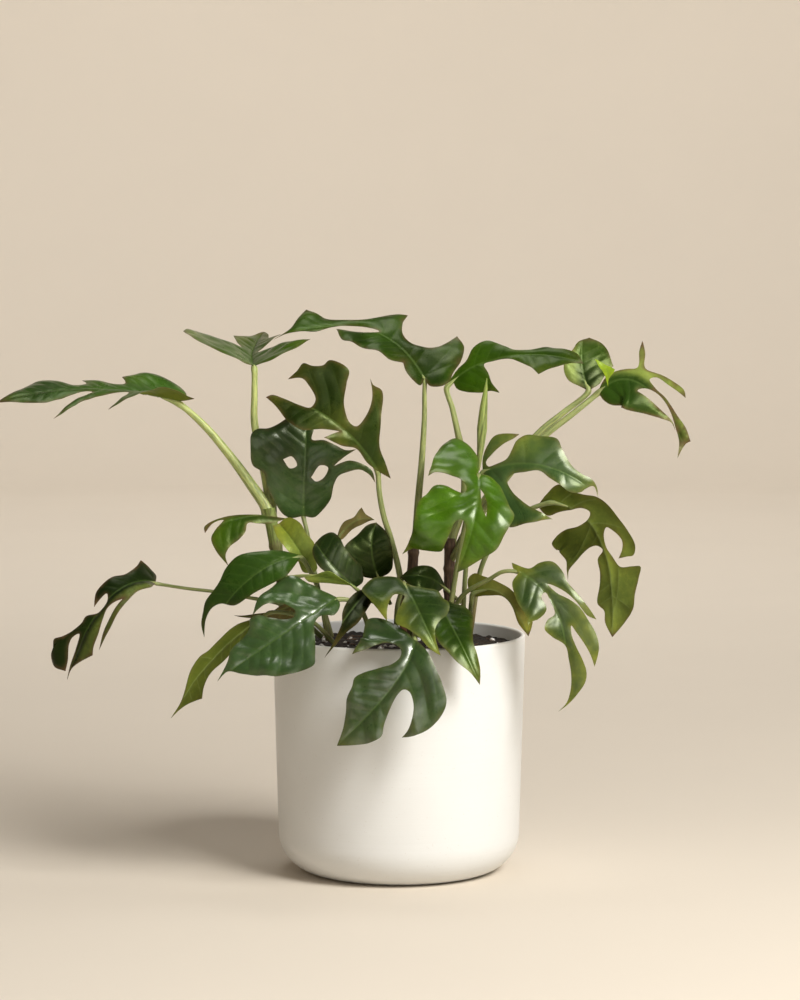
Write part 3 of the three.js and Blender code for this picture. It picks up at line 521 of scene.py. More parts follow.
class Blade:
    """A blade's bent surface around its midrib."""

    def __init__(self, leaf):
        self.leaf = leaf
        base, middle, tip = (np.array(p, float) for p in leaf["rib"])
        self.base, self.control, self.tip = base, 2 * middle - (base + tip) / 2, tip
        self.turns = np.linspace(0.0, 1.0, 81)
        curve = self.curve_point(self.turns[:, None])
        self.runs = np.r_[0.0, np.cumsum(np.linalg.norm(np.diff(curve, axis=0), axis=1))]
        self.length = self.runs[-1]
        faces = leaf["face"] if isinstance(leaf["face"][0], (list, tuple)) else [leaf["face"]] * 2
        self.faces = np.array(faces, float)

    def curve_point(self, t):
        """Point of the midrib's curve."""
        return (1 - t) ** 2 * self.base + 2 * t * (1 - t) * self.control + t**2 * self.tip

    def eased(self, values, u):
        """Smooth change between the numbers of a list as u goes from 0 to 1."""
        values = np.atleast_1d(np.array(values, float))
        last = len(values) - 1
        if not last:
            return np.full(u.shape, values[0])
        k = np.clip((u * last).astype(int), 0, last - 1)
        w = (1 - np.cos(np.pi * (u * last - k))) / 2
        return values[k] + (values[k + 1] - values[k]) * w

    def at(self, across, along):
        """Points of the bent blade, and the face's direction at the midrib there."""
        inside = np.clip(along, 0.0, self.length)
        t = np.interp(inside, self.runs, self.turns)[:, None]
        tangent = unit((1 - t) * (self.control - self.base) + t * (self.tip - self.control))
        point = self.curve_point(t) + tangent * (along - inside)[:, None]
        u = inside / self.length
        normal = self.faces[0] * (1 - u)[:, None] + self.faces[1] * u[:, None]
        normal = unit(normal - np.sum(normal * tangent, axis=1, keepdims=True) * tangent)
        right = np.cross(tangent, normal)
        out, left = np.abs(across), across < 0
        fold, curl = self.leaf["fold"], self.leaf["curl"]
        lift = np.radians(np.where(left, self.eased(fold[0], u), self.eased(fold[1], u)))
        bend = np.radians(np.where(left, curl[0] or 1e-4, curl[1] or 1e-4)) / CURL_LENGTH
        sideways = (np.sin(lift + bend * out) - np.sin(lift)) / bend
        reach = np.minimum(out / RIPPLE_REACH, RIPPLE_LIMIT)
        wave = self.leaf["ripple"] * reach**2 * np.sin(2 * np.pi * along / RIPPLE_LENGTH)
        up = (np.cos(lift) - np.cos(lift + bend * out)) / bend + wave
        return point + (np.sign(across) * sideways)[:, None] * right + up[:, None] * normal

    def normal_at(self, across, along, step=0.4):
        """Direction out of the upper face of the bent blade."""
        over = self.at(across + step, along) - self.at(across - step, along)
        on = self.at(across, along + step) - self.at(across, along - step)
        return unit(np.cross(over, on))


def outline_of(margin, step):
    """The margin as a closed fine list of flat points."""
    margin = [*margin, margin[0]]
    out = []
    start = 0
    while start < len(margin) - 1:
        end = start + 1
        while end < len(margin) - 1 and len(margin[end]) < 3:
            end += 1
        out.append(cut_curve([p[:2] for p in margin[start : end + 1]], step)[:-1])
        start = end
    return np.concatenate(out)


def segment_distance(points, starts, ends):
    """Each point's distance to the nearest of some straight pieces."""
    nearest = np.full(len(points), 1e9)
    for a, b in zip(starts, ends):
        line = b - a
        share = np.clip(((points - a) @ line) / max(line @ line, 1e-9), 0, 1)
        nearest = np.minimum(nearest, np.linalg.norm(points - a - share[:, None] * line, axis=1))
    return nearest


def inside_outline(points, outline):
    """Whether each point lies inside a closed outline."""
    x, y = points[:, 0], points[:, 1]
    inside = np.zeros(len(points), bool)
    for (x1, y1), (x2, y2) in zip(outline, np.roll(outline, -1, axis=0)):
        crosses = (y1 > y) != (y2 > y)
        if y1 != y2:
            inside ^= crosses & (x < (x2 - x1) * (y - y1) / (y2 - y1) + x1)
    return inside


def vein_routes(blade, outline, tips):
    """Flat routes of the side veins: one into each lobe's tip, and more between them."""
    length = blade.length
    routes = []

    def fits(route):
        return inside_outline(route, outline).all()

    def route_between(root, end):
        control = np.array([end[0] * 0.5, root + (end[1] - root) * 0.28 + abs(end[0]) * 0.06])
        t = np.linspace(0.0, 1.0, 24)[:, None]
        start = np.array([0.0, root])
        return (1 - t) ** 2 * start + 2 * t * (1 - t) * control + t**2 * end

    for tip in tips:
        if abs(tip[0]) < 8:
            continue
        wanted = tip[1] - abs(tip[0]) * 0.55
        for root in sorted(np.arange(2.0, length * 0.93, 1.5), key=lambda r: abs(r - wanted)):
            route = route_between(root, np.array(tip) * (0.97, 1.0))
            if fits(route[1:-2]) and abs(root - wanted) < 40:
                routes.append(route[:-1])
                break
    for side in (-1, 1):
        roots = np.arange(6.0, length * 0.9, 8.5 if length > 60 else 6.5)
        for root in roots:
            if any(np.sign(r[-1, 0]) == side and abs(r[0, 1] - root) < 4.5 for r in routes):
                continue
            reach = np.linspace(0.0, 60.0, 41)
            line = np.c_[side * reach, root + reach * (0.55 + 0.006 * reach)]
            within = inside_outline(line[1:], outline)
            count = len(within) if within.all() else int(np.argmin(within))
            line = line[: int(count * 0.94) + 1]
            if len(line) < 6:
                continue
            away = 9.0
            for other in routes:
                away = min(away, segment_distance(line[4:], other[:-1], other[1:]).min())
            if away > 3.0:
                routes.append(line)
    return routes


def hex_points(outline, spacing):
    """Points in even triangles over an outline's box."""
    low, high = outline.min(0), outline.max(0)
    rows = np.arange(low[1], high[1], spacing * 0.866)
    points = []
    for i, y in enumerate(rows):
        xs = np.arange(low[0] + (i % 2) * spacing / 2, high[0], spacing)
        points.append(np.c_[xs, np.full(len(xs), y)])
    return np.concatenate(points)


def fill_blade(blade, settings):
    """Flat points and triangles of a blade, with lines of points along its veins."""
    leaf = blade.leaf
    outline = outline_of(leaf["margin"], settings.margin_step / MM)
    tips = [p[:2] for p in leaf["margin"][1:] if len(p) > 2]
    holes = [outline_of(hole, 1.0) for hole in leaf.get("holes", ())]
    veins = vein_routes(blade, outline, tips)
    midrib = np.c_[np.zeros(60), np.linspace(0.6, blade.length * 0.985, 60)]
    midrib = midrib[inside_outline(midrib, outline)]
    lines = [midrib, *veins]
    closed = [outline, *holes]
    margin_start = np.concatenate(closed)
    margin_end = np.concatenate([np.roll(loop, -1, axis=0) for loop in closed])

    points = [margin_start]
    edges = []
    first = 0
    for loop in closed:
        count = len(loop)
        edges += [(first + i, first + (i + 1) % count) for i in range(count)]
        first += count

    def clear(candidates, gap):
        kept = candidates[inside_outline(candidates, outline)]
        for hole in holes:
            kept = kept[~inside_outline(kept, hole)]
        kept = kept[segment_distance(kept, margin_start, margin_end) > gap]
        made = np.concatenate(points)
        apart = np.ones(len(kept), bool)
        for i, point in enumerate(kept):
            apart[i] = np.min(np.sum((made - point) ** 2, axis=1)) > gap**2
        return kept[apart]

    for index, line in enumerate(lines):
        kept = clear(line, 0.5)
        if len(kept) > 1:
            points.append(kept)
    for index, line in enumerate(lines):
        side = unit(np.gradient(line, axis=0))[:, ::-1] * (1, -1)
        width = vein_width(blade, index == 0, line)
        for sign in (-1, 1):
            kept = clear(line + side * width[:, None] * sign, 0.55)
            if len(kept):
                points.append(kept)
    kept = clear(hex_points(outline, settings.spacing / MM), settings.spacing / MM * 0.62)
    points.append(kept)
    flat = np.concatenate(points)
    made = geometry.delaunay_2d_cdt([Vector(p) for p in flat], edges, [], 1, 1e-4)
    flat = np.array([tuple(v) for v in made[0]])
    triangles = np.array(made[2])
    middle = flat[triangles].mean(axis=1)
    keep = inside_outline(middle, outline)
    for hole in holes:
        keep &= ~inside_outline(middle, hole)
    triangles = triangles[keep]
    a, b, c = (flat[triangles[:, i]] for i in range(3))
    turn = (b - a)[:, 0] * (c - a)[:, 1] - (b - a)[:, 1] * (c - a)[:, 0]
    triangles = triangles[np.abs(turn) > 1e-6]
    turn = turn[np.abs(turn) > 1e-6]
    triangles[turn < 0] = triangles[turn < 0][:, ::-1]
    margin = segment_distance(flat, margin_start, margin_end)
    return flat, triangles, margin, midrib, veins, tips


def vein_width(blade, is_midrib, line):
    """Half the width of a vein's groove along it."""
    if is_midrib:
        return 1.5 - 1.0 * np.clip(line[:, 1] / blade.length, 0, 1)
    return np.linspace(0.9, 0.5, len(line))


def vein_share(blade, flat, midrib, veins):
    """How far each point is from its nearest vein: 0 in the middle of it, 1 at its side or beyond."""
    width = vein_width(blade, True, flat)
    share = segment_distance(flat, midrib[:-1], midrib[1:]) / width
    side_share = np.full(len(flat), 9.0)
    for line in veins:
        side_share = np.minimum(side_share, segment_distance(flat, line[:-1], line[1:]) / 0.75)
    return share, side_share


def blade_points(blade, flat, margin, shares, settings, seed):
    """The upper and lower faces' points, with veins in relief, in millimetres."""
    leaf = blade.leaf
    across, along = flat[:, 0].copy(), flat[:, 1]
    middle = blade.at(across, along)
    normal = blade.normal_at(across, along)
    mid_share, side_share = shares
    u = np.clip(along / blade.length, 0, 1)
    inner = smoothstep(0.0, 5.0, margin)
    rng = np.random.default_rng(seed)
    sway = np.zeros(len(flat))
    for wavelength, height in ((38.0, 0.5), (23.0, 0.35), (13.0, 0.18)):
        angle, phase = rng.uniform(0, 2 * np.pi, 2)
        direction = np.array([np.cos(angle), np.sin(angle)]) * 2 * np.pi / wavelength
        sway += height * np.sin(flat @ direction + phase)
    sway *= smoothstep(2.0, 16.0, np.abs(across)) * leaf.get("sway", 1.0)
    frill = 0.45 * np.exp(-margin / 6.0) * np.sin(along * 0.23 + across * 0.12 + seed)
    roll = -0.35 * np.exp(-((margin / 2.6) ** 2))
    away = np.minimum(mid_share * 1.3, side_share * 0.75)
    puff = 0.5 + 0.5 * leaf.get("sway", 1.0)
    pucker = settings.pucker / MM * puff * (1 - np.exp(-((away / 3.4) ** 2))) * inner
    mid_groove = 0.45 * (1 - 0.6 * u) * np.exp(-((mid_share * 1.1) ** 2))
    side_groove = settings.vein_depth / MM * np.exp(-((side_share * 1.0) ** 2)) * inner
    mid_ridge = (1.0 - 0.75 * u) * np.exp(-((mid_share * 0.95) ** 2))
    side_ridge = 0.32 * np.exp(-((side_share * 1.0) ** 2)) * inner
    half = settings.thickness / MM / 2 * (0.35 + 0.65 * smoothstep(0.0, 1.6, margin))
    shared = sway + frill + roll + pucker
    ends = smoothstep(0.0, 1.5, margin)
    upper = middle + normal * (shared + half - (mid_groove + side_groove) * ends)[:, None]
    lower = middle + normal * (shared - half - (mid_ridge + side_ridge) * ends)[:, None]
    return upper, lower


def blade_colours(blade, flat, margin, settings, tips, seed, upper_side):
    """Each point's own colour: the side's tone, yellow lobe tips and a brown margin."""
    leaf = blade.leaf
    names = leaf["upper"] if upper_side else leaf["under"]
    names = (names, names) if isinstance(names, str) else names
    base, far = (np.array(getattr(settings, name)) for name in names)
    u = np.clip(flat[:, 1] / blade.length, 0, 1)[:, None]
    cloud = np.array([noise.noise((x / 17, y / 17, seed * 3.7)) for x, y in flat])[:, None]
    spots = np.array([noise.noise((x / 5, y / 5, seed * 5.1 + 9)) for x, y in flat])
    colours = base + (far - base) * np.clip(u + cloud * 0.5, 0, 1)
    if upper_side and "left" in leaf:
        turned = smoothstep(2.0, 7.0, -flat[:, 0])[:, None]
        colours += (np.array(getattr(settings, leaf["left"])) - colours) * turned
    # The leaf's shade scales its colours: partly its own tone, partly painted light and shade over the whole
    # blade.
    colours = colours * (1 + cloud * 0.28) * leaf.get("shade", 1.0)
    ends = np.full(len(flat), 99.0)
    for tip in [*tips, (0.0, blade.length)]:
        ends = np.minimum(ends, np.linalg.norm(flat - np.array(tip[:2]), axis=1))
    yellow = leaf.get("yellow", 0.15)
    near = np.clip(np.exp(-((ends / 13) ** 2)) + 0.5 * np.exp(-margin / 1.5), 0, 1)
    share = yellow * near * (0.85 + spots * 0.6)
    colours += (np.array(settings.yellow) - colours) * np.clip(share, 0, 1)[:, None]
    brown = leaf.get("brown", 0.25)
    rim = brown * (np.exp(-((margin / 1.2) ** 2)) * (0.8 + spots) + np.exp(-((ends / 3.0) ** 2)))
    colours += (np.array(settings.brown) - colours) * np.clip(rim, 0, 1)[:, None]
    return np.clip(colours, 0, 1)


def build_blade(leaf, number, settings, materials):
    """One blade as a closed thin mesh, in the plant's place."""
    blade = Blade(leaf)
    flat, triangles, margin, midrib, veins, tips = fill_blade(blade, settings)
    shares = vein_share(blade, flat, midrib, veins)
    upper, lower = blade_points(blade, flat, margin, shares, settings, number)
    count = len(flat)
    edges = {}
    for a, b, c in triangles:
        for edge in ((a, b), (b, c), (c, a)):
            edges[edge] = edges.get(edge[::-1], None) is None
    rim = [(a, b) for a, b in edges if (b, a) not in edges]
    faces = [tuple(t) for t in triangles]
    faces += [(a + count, c + count, b + count) for a, b, c in triangles]
    faces += [(a, a + count, b + count, b) for a, b in rim]
    points = place(np.concatenate([upper, lower]) * MM)
    obj = mesh_object(leaf["name"] + "_blade", points, faces, materials)
    mesh = obj.data
    side = np.zeros(len(faces), np.int32)
    side[len(triangles) :] = 1
    mesh.polygons.foreach_set("material_index", side)
    add_uv(mesh, "blade", np.r_[flat, flat] / 200.0 + (0.5, 0.25))
    for name, share in zip(("rib", "vein"), shares):
        add_values(mesh, name, np.clip(np.r_[share, share], 0, 4))
    add_values(mesh, "margin", np.clip(np.r_[margin, margin], 0, 20))
    add_values(mesh, "gloss", np.full(2 * count, leaf.get("gloss", 0.05)))
    sides = [blade_colours(blade, flat, margin, settings, tips, number, face) for face in (True, False)]
    add_colours(mesh, "tone", np.concatenate(sides))
    return obj, blade


LEAVES = [
    dict(
        name="leaf_01",  # far left, high
        upper=("mature", "deep"), under="olive", shade=1.6, yellow=0.1, brown=0.6,
        rib=[[-147, -2, 165], [-204, -18, 174], [-262, -40, 167]], face=[[0, -0.1, 1], [0, -0.3, 1]],
        fold=[[38, -8, -8], [26, 8, 8]], curl=[-22, -14], ripple=0,
        margin=[
            [0, 0, TIP], [-9, -8, TIP], [-13, 4], [-16, 16], [-16, 26], [-21, 36], [-31, 55, TIP], [-18, 43],
            [-10, 37], [-8, 42], [-10, 52], [-15, 62], [-21, 74], [-32, 96, TIP], [-19, 80], [-11, 66],
            [-6, 61], [-5, 67], [-8, 77], [-12, 87], [-14, 97], [-9, 108], [-5, 117], [0, 126, TIP], [7, 112],
            [14, 100], [21, 91], [17, 80], [9, 70], [10, 62], [20, 62, TIP], [17, 54], [11, 44], [12, 36],
            [24, 36, TIP], [30, 24], [29, 12], [20, 0], [8, -5],
        ],
    ),
    dict(
        name="leaf_02",  # left, high, pointing back
        upper=("fresh", "mature"), under="olive", shade=0.5, yellow=0.2, brown=0.4,
        rib=[[-97, 4, 188], [-100, 40, 196], [-95, 84, 207]], face=[0, -0.15, 1],
        fold=[[30, 22], [26, 20]], curl=[-8, -8], ripple=0,
        margin=[
            [0, 0, TIP], [-12, -6], [-28, -4], [-44, 2], [-51, 14, TIP], [-44, 30], [-32, 36], [-18, 36],
            [-8, 36], [-12, 44], [-16, 56, TIP], [-9, 64], [-5, 74], [0, 88, TIP], [6, 76], [9, 66],
            [17, 66, TIP], [13, 52], [7, 40], [5, 30], [13, 28], [25, 24], [34, 16], [42, 6, TIP], [28, -2],
            [14, -5],
        ],
    ),
    dict(
        name="leaf_03",  # middle, highest
        upper=("mature", "fresh"), under="tan", shade=0.44, yellow=0.05, brown=0.5,
        rib=[[17, -8, 180], [-22, 24, 212], [-84, 22, 206]], face=[[0, -0.6, 0.8], [0, -0.35, 0.94]],
        fold=[6, 6], curl=[-8, -8], ripple=0,
        margin=[
            [0, 0, TIP], [-5, -5], [-8, 0], [-9, 10], [-7, 19, TIP], [-14, 26], [-17, 38], [-20, 49],
            [-23, 62], [-20, 76], [-6, 82, TIP], [-6, 69], [-4, 60], [2, 53], [3, 63], [1, 73], [-2, 87],
            [-5, 97], [-1, 108], [2, 117], [0, 126, TIP], [3, 119], [7, 112], [19, 104], [28, 99, TIP],
            [18, 93], [10, 87], [7, 77], [9, 69], [18, 60], [28, 52], [30, 49, TIP], [18, 46], [10, 40],
            [9, 31], [14, 24], [22, 21], [31, 22], [39, 23, TIP], [38, 16], [33, 9], [28, 4, TIP], [20, -2],
            [14, -9], [7, -10], [1, -7],
        ],
    ),
    dict(
        name="leaf_04",  # right of the middle, high
        upper=("fresh", "mature"), under="olive", shade=0.46, yellow=0.1, brown=0.2,
        rib=[[32, 12, 174], [71, 10, 194], [124, -4, 191]], face=[[0, -0.75, 0.65], [0, -0.6, 0.8]],
        fold=[6, 4], curl=[-8, -8], ripple=0,
        margin=[
            [0, 0, TIP], [-5, 13], [-7, 20], [-14, 27], [-17, 35], [-14, 40], [-10, 45], [-5, 51], [-5, 61],
            [-8, 71], [-7, 77], [-8, 85], [-7, 92], [2, 100, TIP], [4, 91], [10, 83], [14, 77], [19, 72, TIP],
            [12, 63], [4, 51], [2, 44], [1, 37], [1, 30], [10, 31], [20, 32], [32, 38, TIP], [26, 28],
            [21, 16], [14, 8], [7, 4], [0, 5],
        ],
    ),
    dict(
        name="leaf_05",  # right, high, upright
        upper=("deep", "mature"), under="pale", left="pale", shade=0.8,
        yellow=0.05, brown=0.5,
        rib=[[128, 18, 172], [124, 26, 187], [125, 30, 206]], face=[-0.1, -1, 0.3],
        fold=[20, -12], curl=[-20, -10], ripple=0,
        margin=[
            [0, -1, TIP], [-5, 4], [-11, 9], [-13, 15], [-12, 21], [-6, 29], [-3, 34], [4, 38, TIP], [12, 36],
            [17, 32], [20, 26], [22, 17, TIP], [16, 10], [9, 2],
        ],
    ),
    dict(
        name="leaf_06",  # far right, drooping
        upper=("mature", "deep"), under="pale", left="pale",
        yellow=0.2, brown=0.8,
        rib=[[134, 10, 170], [162, 4, 176], [190, -8, 137]], face=[0, -0.95, 0.3],
        fold=[6, 6], curl=[-8, -8], ripple=0,
        margin=[
            [0, 0, TIP], [-5, 10], [-7, 21], [-9, 26], [-20, 25], [-28, 25, TIP], [-21, 27], [-11, 30],
            [-14, 39], [-16, 45], [-18, 53], [-16, 57, TIP], [-14, 51], [-12, 45], [-10, 37], [-6, 35],
            [-4, 42], [-5, 50], [-5, 56], [-5, 64], [-6, 74], [-5, 83, TIP], [-2, 83], [3, 86], [8, 90, TIP],
            [2, 80], [0, 70], [-2, 61], [-3, 51], [-2, 43], [1, 36], [5, 33], [4, 45], [2, 56], [0, 66],
            [1, 72, TIP], [1, 66], [5, 61], [12, 52], [21, 35], [14, 2], [7, -1],
        ],
    ),
    dict(
        name="leaf_07",  # right, youngest and smallest
        upper="young", under="young", shade=0.85, yellow=0.3, brown=0.0,
        rib=[[140, 0, 174], [139, -4, 186], [131, -6, 192]], face=[0, -1, 0.2],
        fold=[4, 4], curl=[0, 0], ripple=0,
        margin=[
            [0, 0, TIP], [-2, 6], [-3, 18], [1, 24, TIP], [1, 16], [5, 11, TIP], [0, 6],
        ],
    ),
    dict(
        name="leaf_08",  # left of the middle, facing front
        upper=("mature", "deep"), under="olive", shade=0.42, gloss=0.06, yellow=0.15, brown=0.5,
        rib=[[-14, -34, 120], [-45, -40, 155], [-87, -34, 170]], face=[0, -1, 0.15],
        fold=[12, 6], curl=[-10, -14], ripple=0.8,
        margin=[
            [0, 0, TIP], [-3, 9], [-3, 21], [-9, 30], [-13, 44, TIP], [-3, 38, TIP], [-9, 49], [-16, 61],
            [-14, 74], [-6, 86], [-1, 94, TIP], [1, 90], [0, 81], [-1, 70], [0, 63], [6, 62], [13, 69],
            [16, 74], [13, 82, TIP], [20, 78], [26, 76], [26, 71], [29, 66], [34, 64], [34, 54], [25, 51],
            [13, 46], [6, 37], [7, 32], [16, 32], [28, 36], [37, 43, TIP], [35, 40], [36, 35], [22, 25],
            [10, 13], [7, 1], [5, -9, TIP],
        ],
    ),
    dict(
        name="leaf_09",  # left, behind the last
        upper=("bluish", "deep"), under="olive", shade=1.15, gloss=0.35, yellow=0.0, brown=0.4,
        holes=[
            [[-14.8, 37.5, TIP], [-8.9, 39.7], [-5.2, 34], [-9.9, 31.9]],
            [[4.6, 26.4, TIP], [10.3, 34.7], [15.7, 33.6], [13.2, 26.7], [8, 23.8]],
        ],
        rib=[[-64, -6, 88], [-63, -8, 123], [-61, 2, 158]], face=[0.1, -1, 0.1],
        fold=[8, 8], curl=[-12, -12], ripple=0.8,
        margin=[
            [0, 0, TIP], [-9, -1], [-14, 2], [-19, 9], [-24, 18], [-27, 28], [-35, 33], [-37, 43], [-37, 52],
            [-33, 56], [-26, 57], [-20, 60], [-15, 64, TIP], [-9, 69], [0, 72, TIP], [5, 62], [4, 52],
            [12, 52], [20, 49], [27, 46], [34, 47, TIP], [26, 41], [20, 35], [24, 37], [30, 39], [39, 37],
            [45, 33], [48, 24, TIP], [43, 30], [37, 33], [29, 31], [23, 28], [20, 22], [18, 12], [12, 3],
            [7, -1],
        ],
    ),
    dict(
        name="leaf_10",  # left, small and curled
        upper=("mature", "fresh"), under="olive", shade=0.34, yellow=0.1, brown=0.6,
        rib=[[-74, -26, 88], [-102, -36, 90], [-128, -44, 80]], face=[0, -0.75, 0.66],
        fold=[-8, 10], curl=[-30, -10], ripple=0,
        margin=[
            [0, 0, TIP], [-5, 11], [-6, 22], [-5, 29], [-11, 33], [-15, 40], [-17, 49], [-21, 56],
            [-28, 59, TIP], [-15, 60], [-6, 58], [-2, 52], [2, 44], [3, 51], [0, 59, TIP], [4, 57], [4, 44],
            [3, 35], [1, 25], [0, 12],
        ],
    ),
    dict(
        name="leaf_11",  # left, plain oval
        upper=("mature", "deep"), under="olive", gloss=0.15, yellow=0.0, brown=0.2,
        rib=[[-64, -48, 65], [-96, -66, 53], [-128, -72, 15]], face=[-0.25, -0.8, 0.6],
        fold=[8, 8], curl=[-14, -14], ripple=0.6,
        margin=[
            [1, -1, TIP], [-9, 12], [-15, 23], [-14, 31], [-12, 42], [-10, 52], [-6, 61], [3, 66], [6, 72],
            [5, 80], [-1, 90, TIP], [6, 84], [10, 77], [13, 71], [13, 63], [14, 56], [18, 47], [19, 38],
            [16, 29], [11, 20], [6, 10],
        ],
    ),
    dict(
        name="leaf_12",  # far left, low
        upper="deep", under="pale", left="pale", shade=0.5, gloss=0.08, yellow=0.0, brown=0.7,
        rib=[[-161, -22, 45], [-192, -48, 36], [-218, -58, -15]], face=[-0.35, -0.75, 0.55],
        fold=[10, 8], curl=[-20, -18], ripple=0,
        margin=[
            [0, 1, TIP], [-9, 13], [-10, 25], [-13, 37], [-17, 53], [-17, 67], [-17, 76, TIP], [-13, 62],
            [-12, 49], [-9, 37, TIP], [-5, 48], [-7, 57], [-10, 66], [-12, 76], [-14, 81, TIP], [-6, 88],
            [-1, 95], [0, 103, TIP], [1, 93], [2, 82], [4, 72], [8, 76], [8, 81], [4, 91], [3, 98, TIP],
            [13, 98], [18, 92], [18, 87], [20, 82], [15, 78], [10, 72], [6, 65], [6, 60], [0, 54], [-1, 45],
            [4, 40], [5, 46], [5, 52, TIP], [8, 48], [11, 43], [12, 36], [12, 28], [10, 20], [14, 10],
            [20, 4, TIP], [14, 0], [8, -3],
        ],
    ),
    dict(
        name="leaf_13",  # left, hanging beside the pot
        upper="mature", under="olive", shade=0.86, yellow=0.1, brown=0.3,
        rib=[[-86, -56, 29], [-122, -72, 0], [-148, -80, -37]], face=[-0.4, 0.75, 0.5],
        fold=[8, 8], curl=[-12, -12], ripple=0,
        margin=[
            [0, 0, TIP], [-3, 13], [-7, 22], [-8, 29], [-7, 38], [-7, 47], [-9, 53], [-8, 62], [-4, 71],
            [-1, 79], [1, 87], [0, 96, TIP], [4, 88], [9, 81], [16, 74, TIP], [11, 67], [9, 59], [9, 52],
            [10, 43], [10, 33], [13, 21], [13, 6],
        ],
    ),
    dict(
        name="leaf_14",  # left, large, over the rim
        upper="bluish", under="olive", shade=1.15, gloss=1.0, yellow=0.0, brown=0.2, sway=2.2,
        rib=[[-40, -72, 40], [-73, -94, 20], [-117, -104, -10]], face=[-0.15, -0.8, 0.6],
        fold=[8, 8], curl=[-16, -16], ripple=0.7,
        margin=[
            [1, 0, TIP], [-6, 4], [-10, 14], [-7, 16], [-4, 20], [-7, 27], [-17, 34], [-27, 41], [-33, 46],
            [-31, 55], [-25, 66], [-16, 75], [-6, 84], [1, 90], [0, 99, TIP], [4, 91], [7, 86], [12, 80],
            [15, 71], [18, 61], [22, 58], [21, 52], [15, 46], [9, 40], [6, 34], [9, 30], [15, 31], [22, 35],
            [25, 41], [25, 48], [23, 55, TIP], [32, 44], [35, 34], [35, 22], [32, 13], [27, 9], [18, 6],
            [9, 3],
        ],
    ),
    dict(
        name="leaf_15",  # front, hanging over the rim
        upper="bluish", under="olive", shade=0.8, gloss=1.0, yellow=0.1, brown=0.2, sway=2.0,
        rib=[[10, -99, 16], [-3, -112, -11], [-40, -112, -51]], face=[-0.1, -0.93, 0.3],
        fold=[8, 6], curl=[-14, -16], ripple=0.6,
        margin=[
            [0, 0, TIP], [-8, 6], [-18, 14], [-27, 20], [-35, 26], [-37, 32], [-36, 41], [-32, 49],
            [-26, 55, TIP], [-26, 49], [-23, 42], [-18, 36], [-11, 32], [-7, 33], [-6, 38], [-8, 47],
            [-12, 57], [-16, 63], [-14, 70], [-6, 81], [0, 88, TIP], [5, 78], [11, 70], [17, 62], [20, 53],
            [23, 47], [20, 39], [14, 30], [8, 22], [6, 15], [8, 9], [14, 6], [21, 11], [28, 23],
            [34, 34, TIP], [34, -6], [31, -16], [23, -17], [15, -14], [6, -7],
        ],
    ),
    dict(
        name="leaf_16",  # front, over the middle
        upper=("bluish", "mature"), under="olive", shade=0.62, gloss=0.2, yellow=0.4, brown=0.2,
        rib=[[3, -66, 50], [13, -88, 33], [26, -101, 6]], face=[0.05, -0.85, 0.5],
        fold=[8, 8], curl=[-16, -16], ripple=0,
        margin=[
            [0, 0, TIP], [-4, 7], [-11, 13], [-17, 19], [-18, 27], [-20, 33], [-16, 39], [-10, 41], [-5, 45],
            [-2, 53], [-1, 63, TIP], [4, 56], [7, 48], [12, 39], [17, 32], [14, 26], [8, 20], [4, 14],
            [9, 11], [14, 15], [19, 22], [22, 29, TIP], [24, 21], [26, 12], [28, -2], [22, -9], [13, -11],
            [3, -7],
        ],
    ),
    dict(
        name="leaf_17",  # front right, over the rim
        upper=("mature", "fresh"), under="olive", shade=0.3, gloss=0.2, yellow=0.2, brown=0.3,
        rib=[[24, -52, 37], [38, -86, 16], [52, -97, -13]], face=[0.25, -0.8, 0.5],
        fold=[6, 6], curl=[-14, -20], ripple=0,
        margin=[
            [0, 0, TIP], [-6, 2], [-11, 8], [-16, 13], [-17, 26], [-12, 40], [-8, 50], [-7, 59], [-5, 68],
            [0, 78, TIP], [3, 68], [8, 59], [11, 50], [14, 42], [13, 32], [8, 16],
        ],
    ),
    dict(
        name="leaf_18",  # right of the middle, facing front
        upper="fresh", under="pale", shade=0.66, gloss=0.3, yellow=0.2, brown=0.3, sway=1.8,
        holes=[
            [[-1.2, 16, TIP], [-4, 21], [-6.5, 29], [-7, 36, TIP], [-3.8, 31], [-1.9, 23]],
        ],
        rib=[[52, -58, 120], [49, -84, 93], [38, -80, 58]], face=[-0.05, -0.95, 0.3],
        fold=[6, 6], curl=[-14, -12], ripple=0.7,
        margin=[
            [0, -1, TIP], [-7, 3], [-13, 11], [-17, 20], [-21, 28], [-25, 33], [-23, 39], [-21, 45],
            [-19, 53], [-13, 60], [-6, 69], [0, 77, TIP], [2, 67], [3, 57], [4, 47], [6, 42], [9, 41],
            [12, 44], [13, 52], [14, 60], [15, 68], [25, 72], [33, 76], [38, 83, TIP], [37, 72], [37, 59],
            [38, 45], [38, 33], [33, 23], [28, 14], [21, 15], [15, 18], [9, 19], [8, 14], [11, 8], [15, 3],
            [22, -4], [28, -6], [33, -3, TIP], [30, -17], [26, -28], [19, -39], [13, -42], [7, -38], [2, -29],
            [-1, -17],
        ],
    ),
    dict(
        name="leaf_19",  # right, behind the last
        upper="bluish", under="olive", shade=1.15, gloss=0.4, yellow=0.35, brown=0.4,
        rib=[[55, -38, 120], [94, -50, 125], [131, -52, 105]], face=[0.1, -0.93, 0.35],
        fold=[6, 6], curl=[-12, -14], ripple=0.6,
        margin=[
            [0, 0, TIP], [-9, 3], [-16, 8], [-21, 13], [-20, 26, TIP], [-17, 23], [-14, 17], [-9, 9], [-5, 4],
            [-2, 5], [-2, 11], [-4, 18], [-10, 22], [-16, 25], [-20, 30], [-20, 37], [-20, 46], [-15, 50],
            [-10, 55], [-6, 61], [-5, 68], [-6, 74], [-4, 80], [1, 85, TIP], [-3, 78], [1, 75], [6, 73],
            [10, 66], [9, 58], [7, 49], [4, 41], [6, 31], [7, 21], [11, 17], [19, 21], [26, 31], [30, 42],
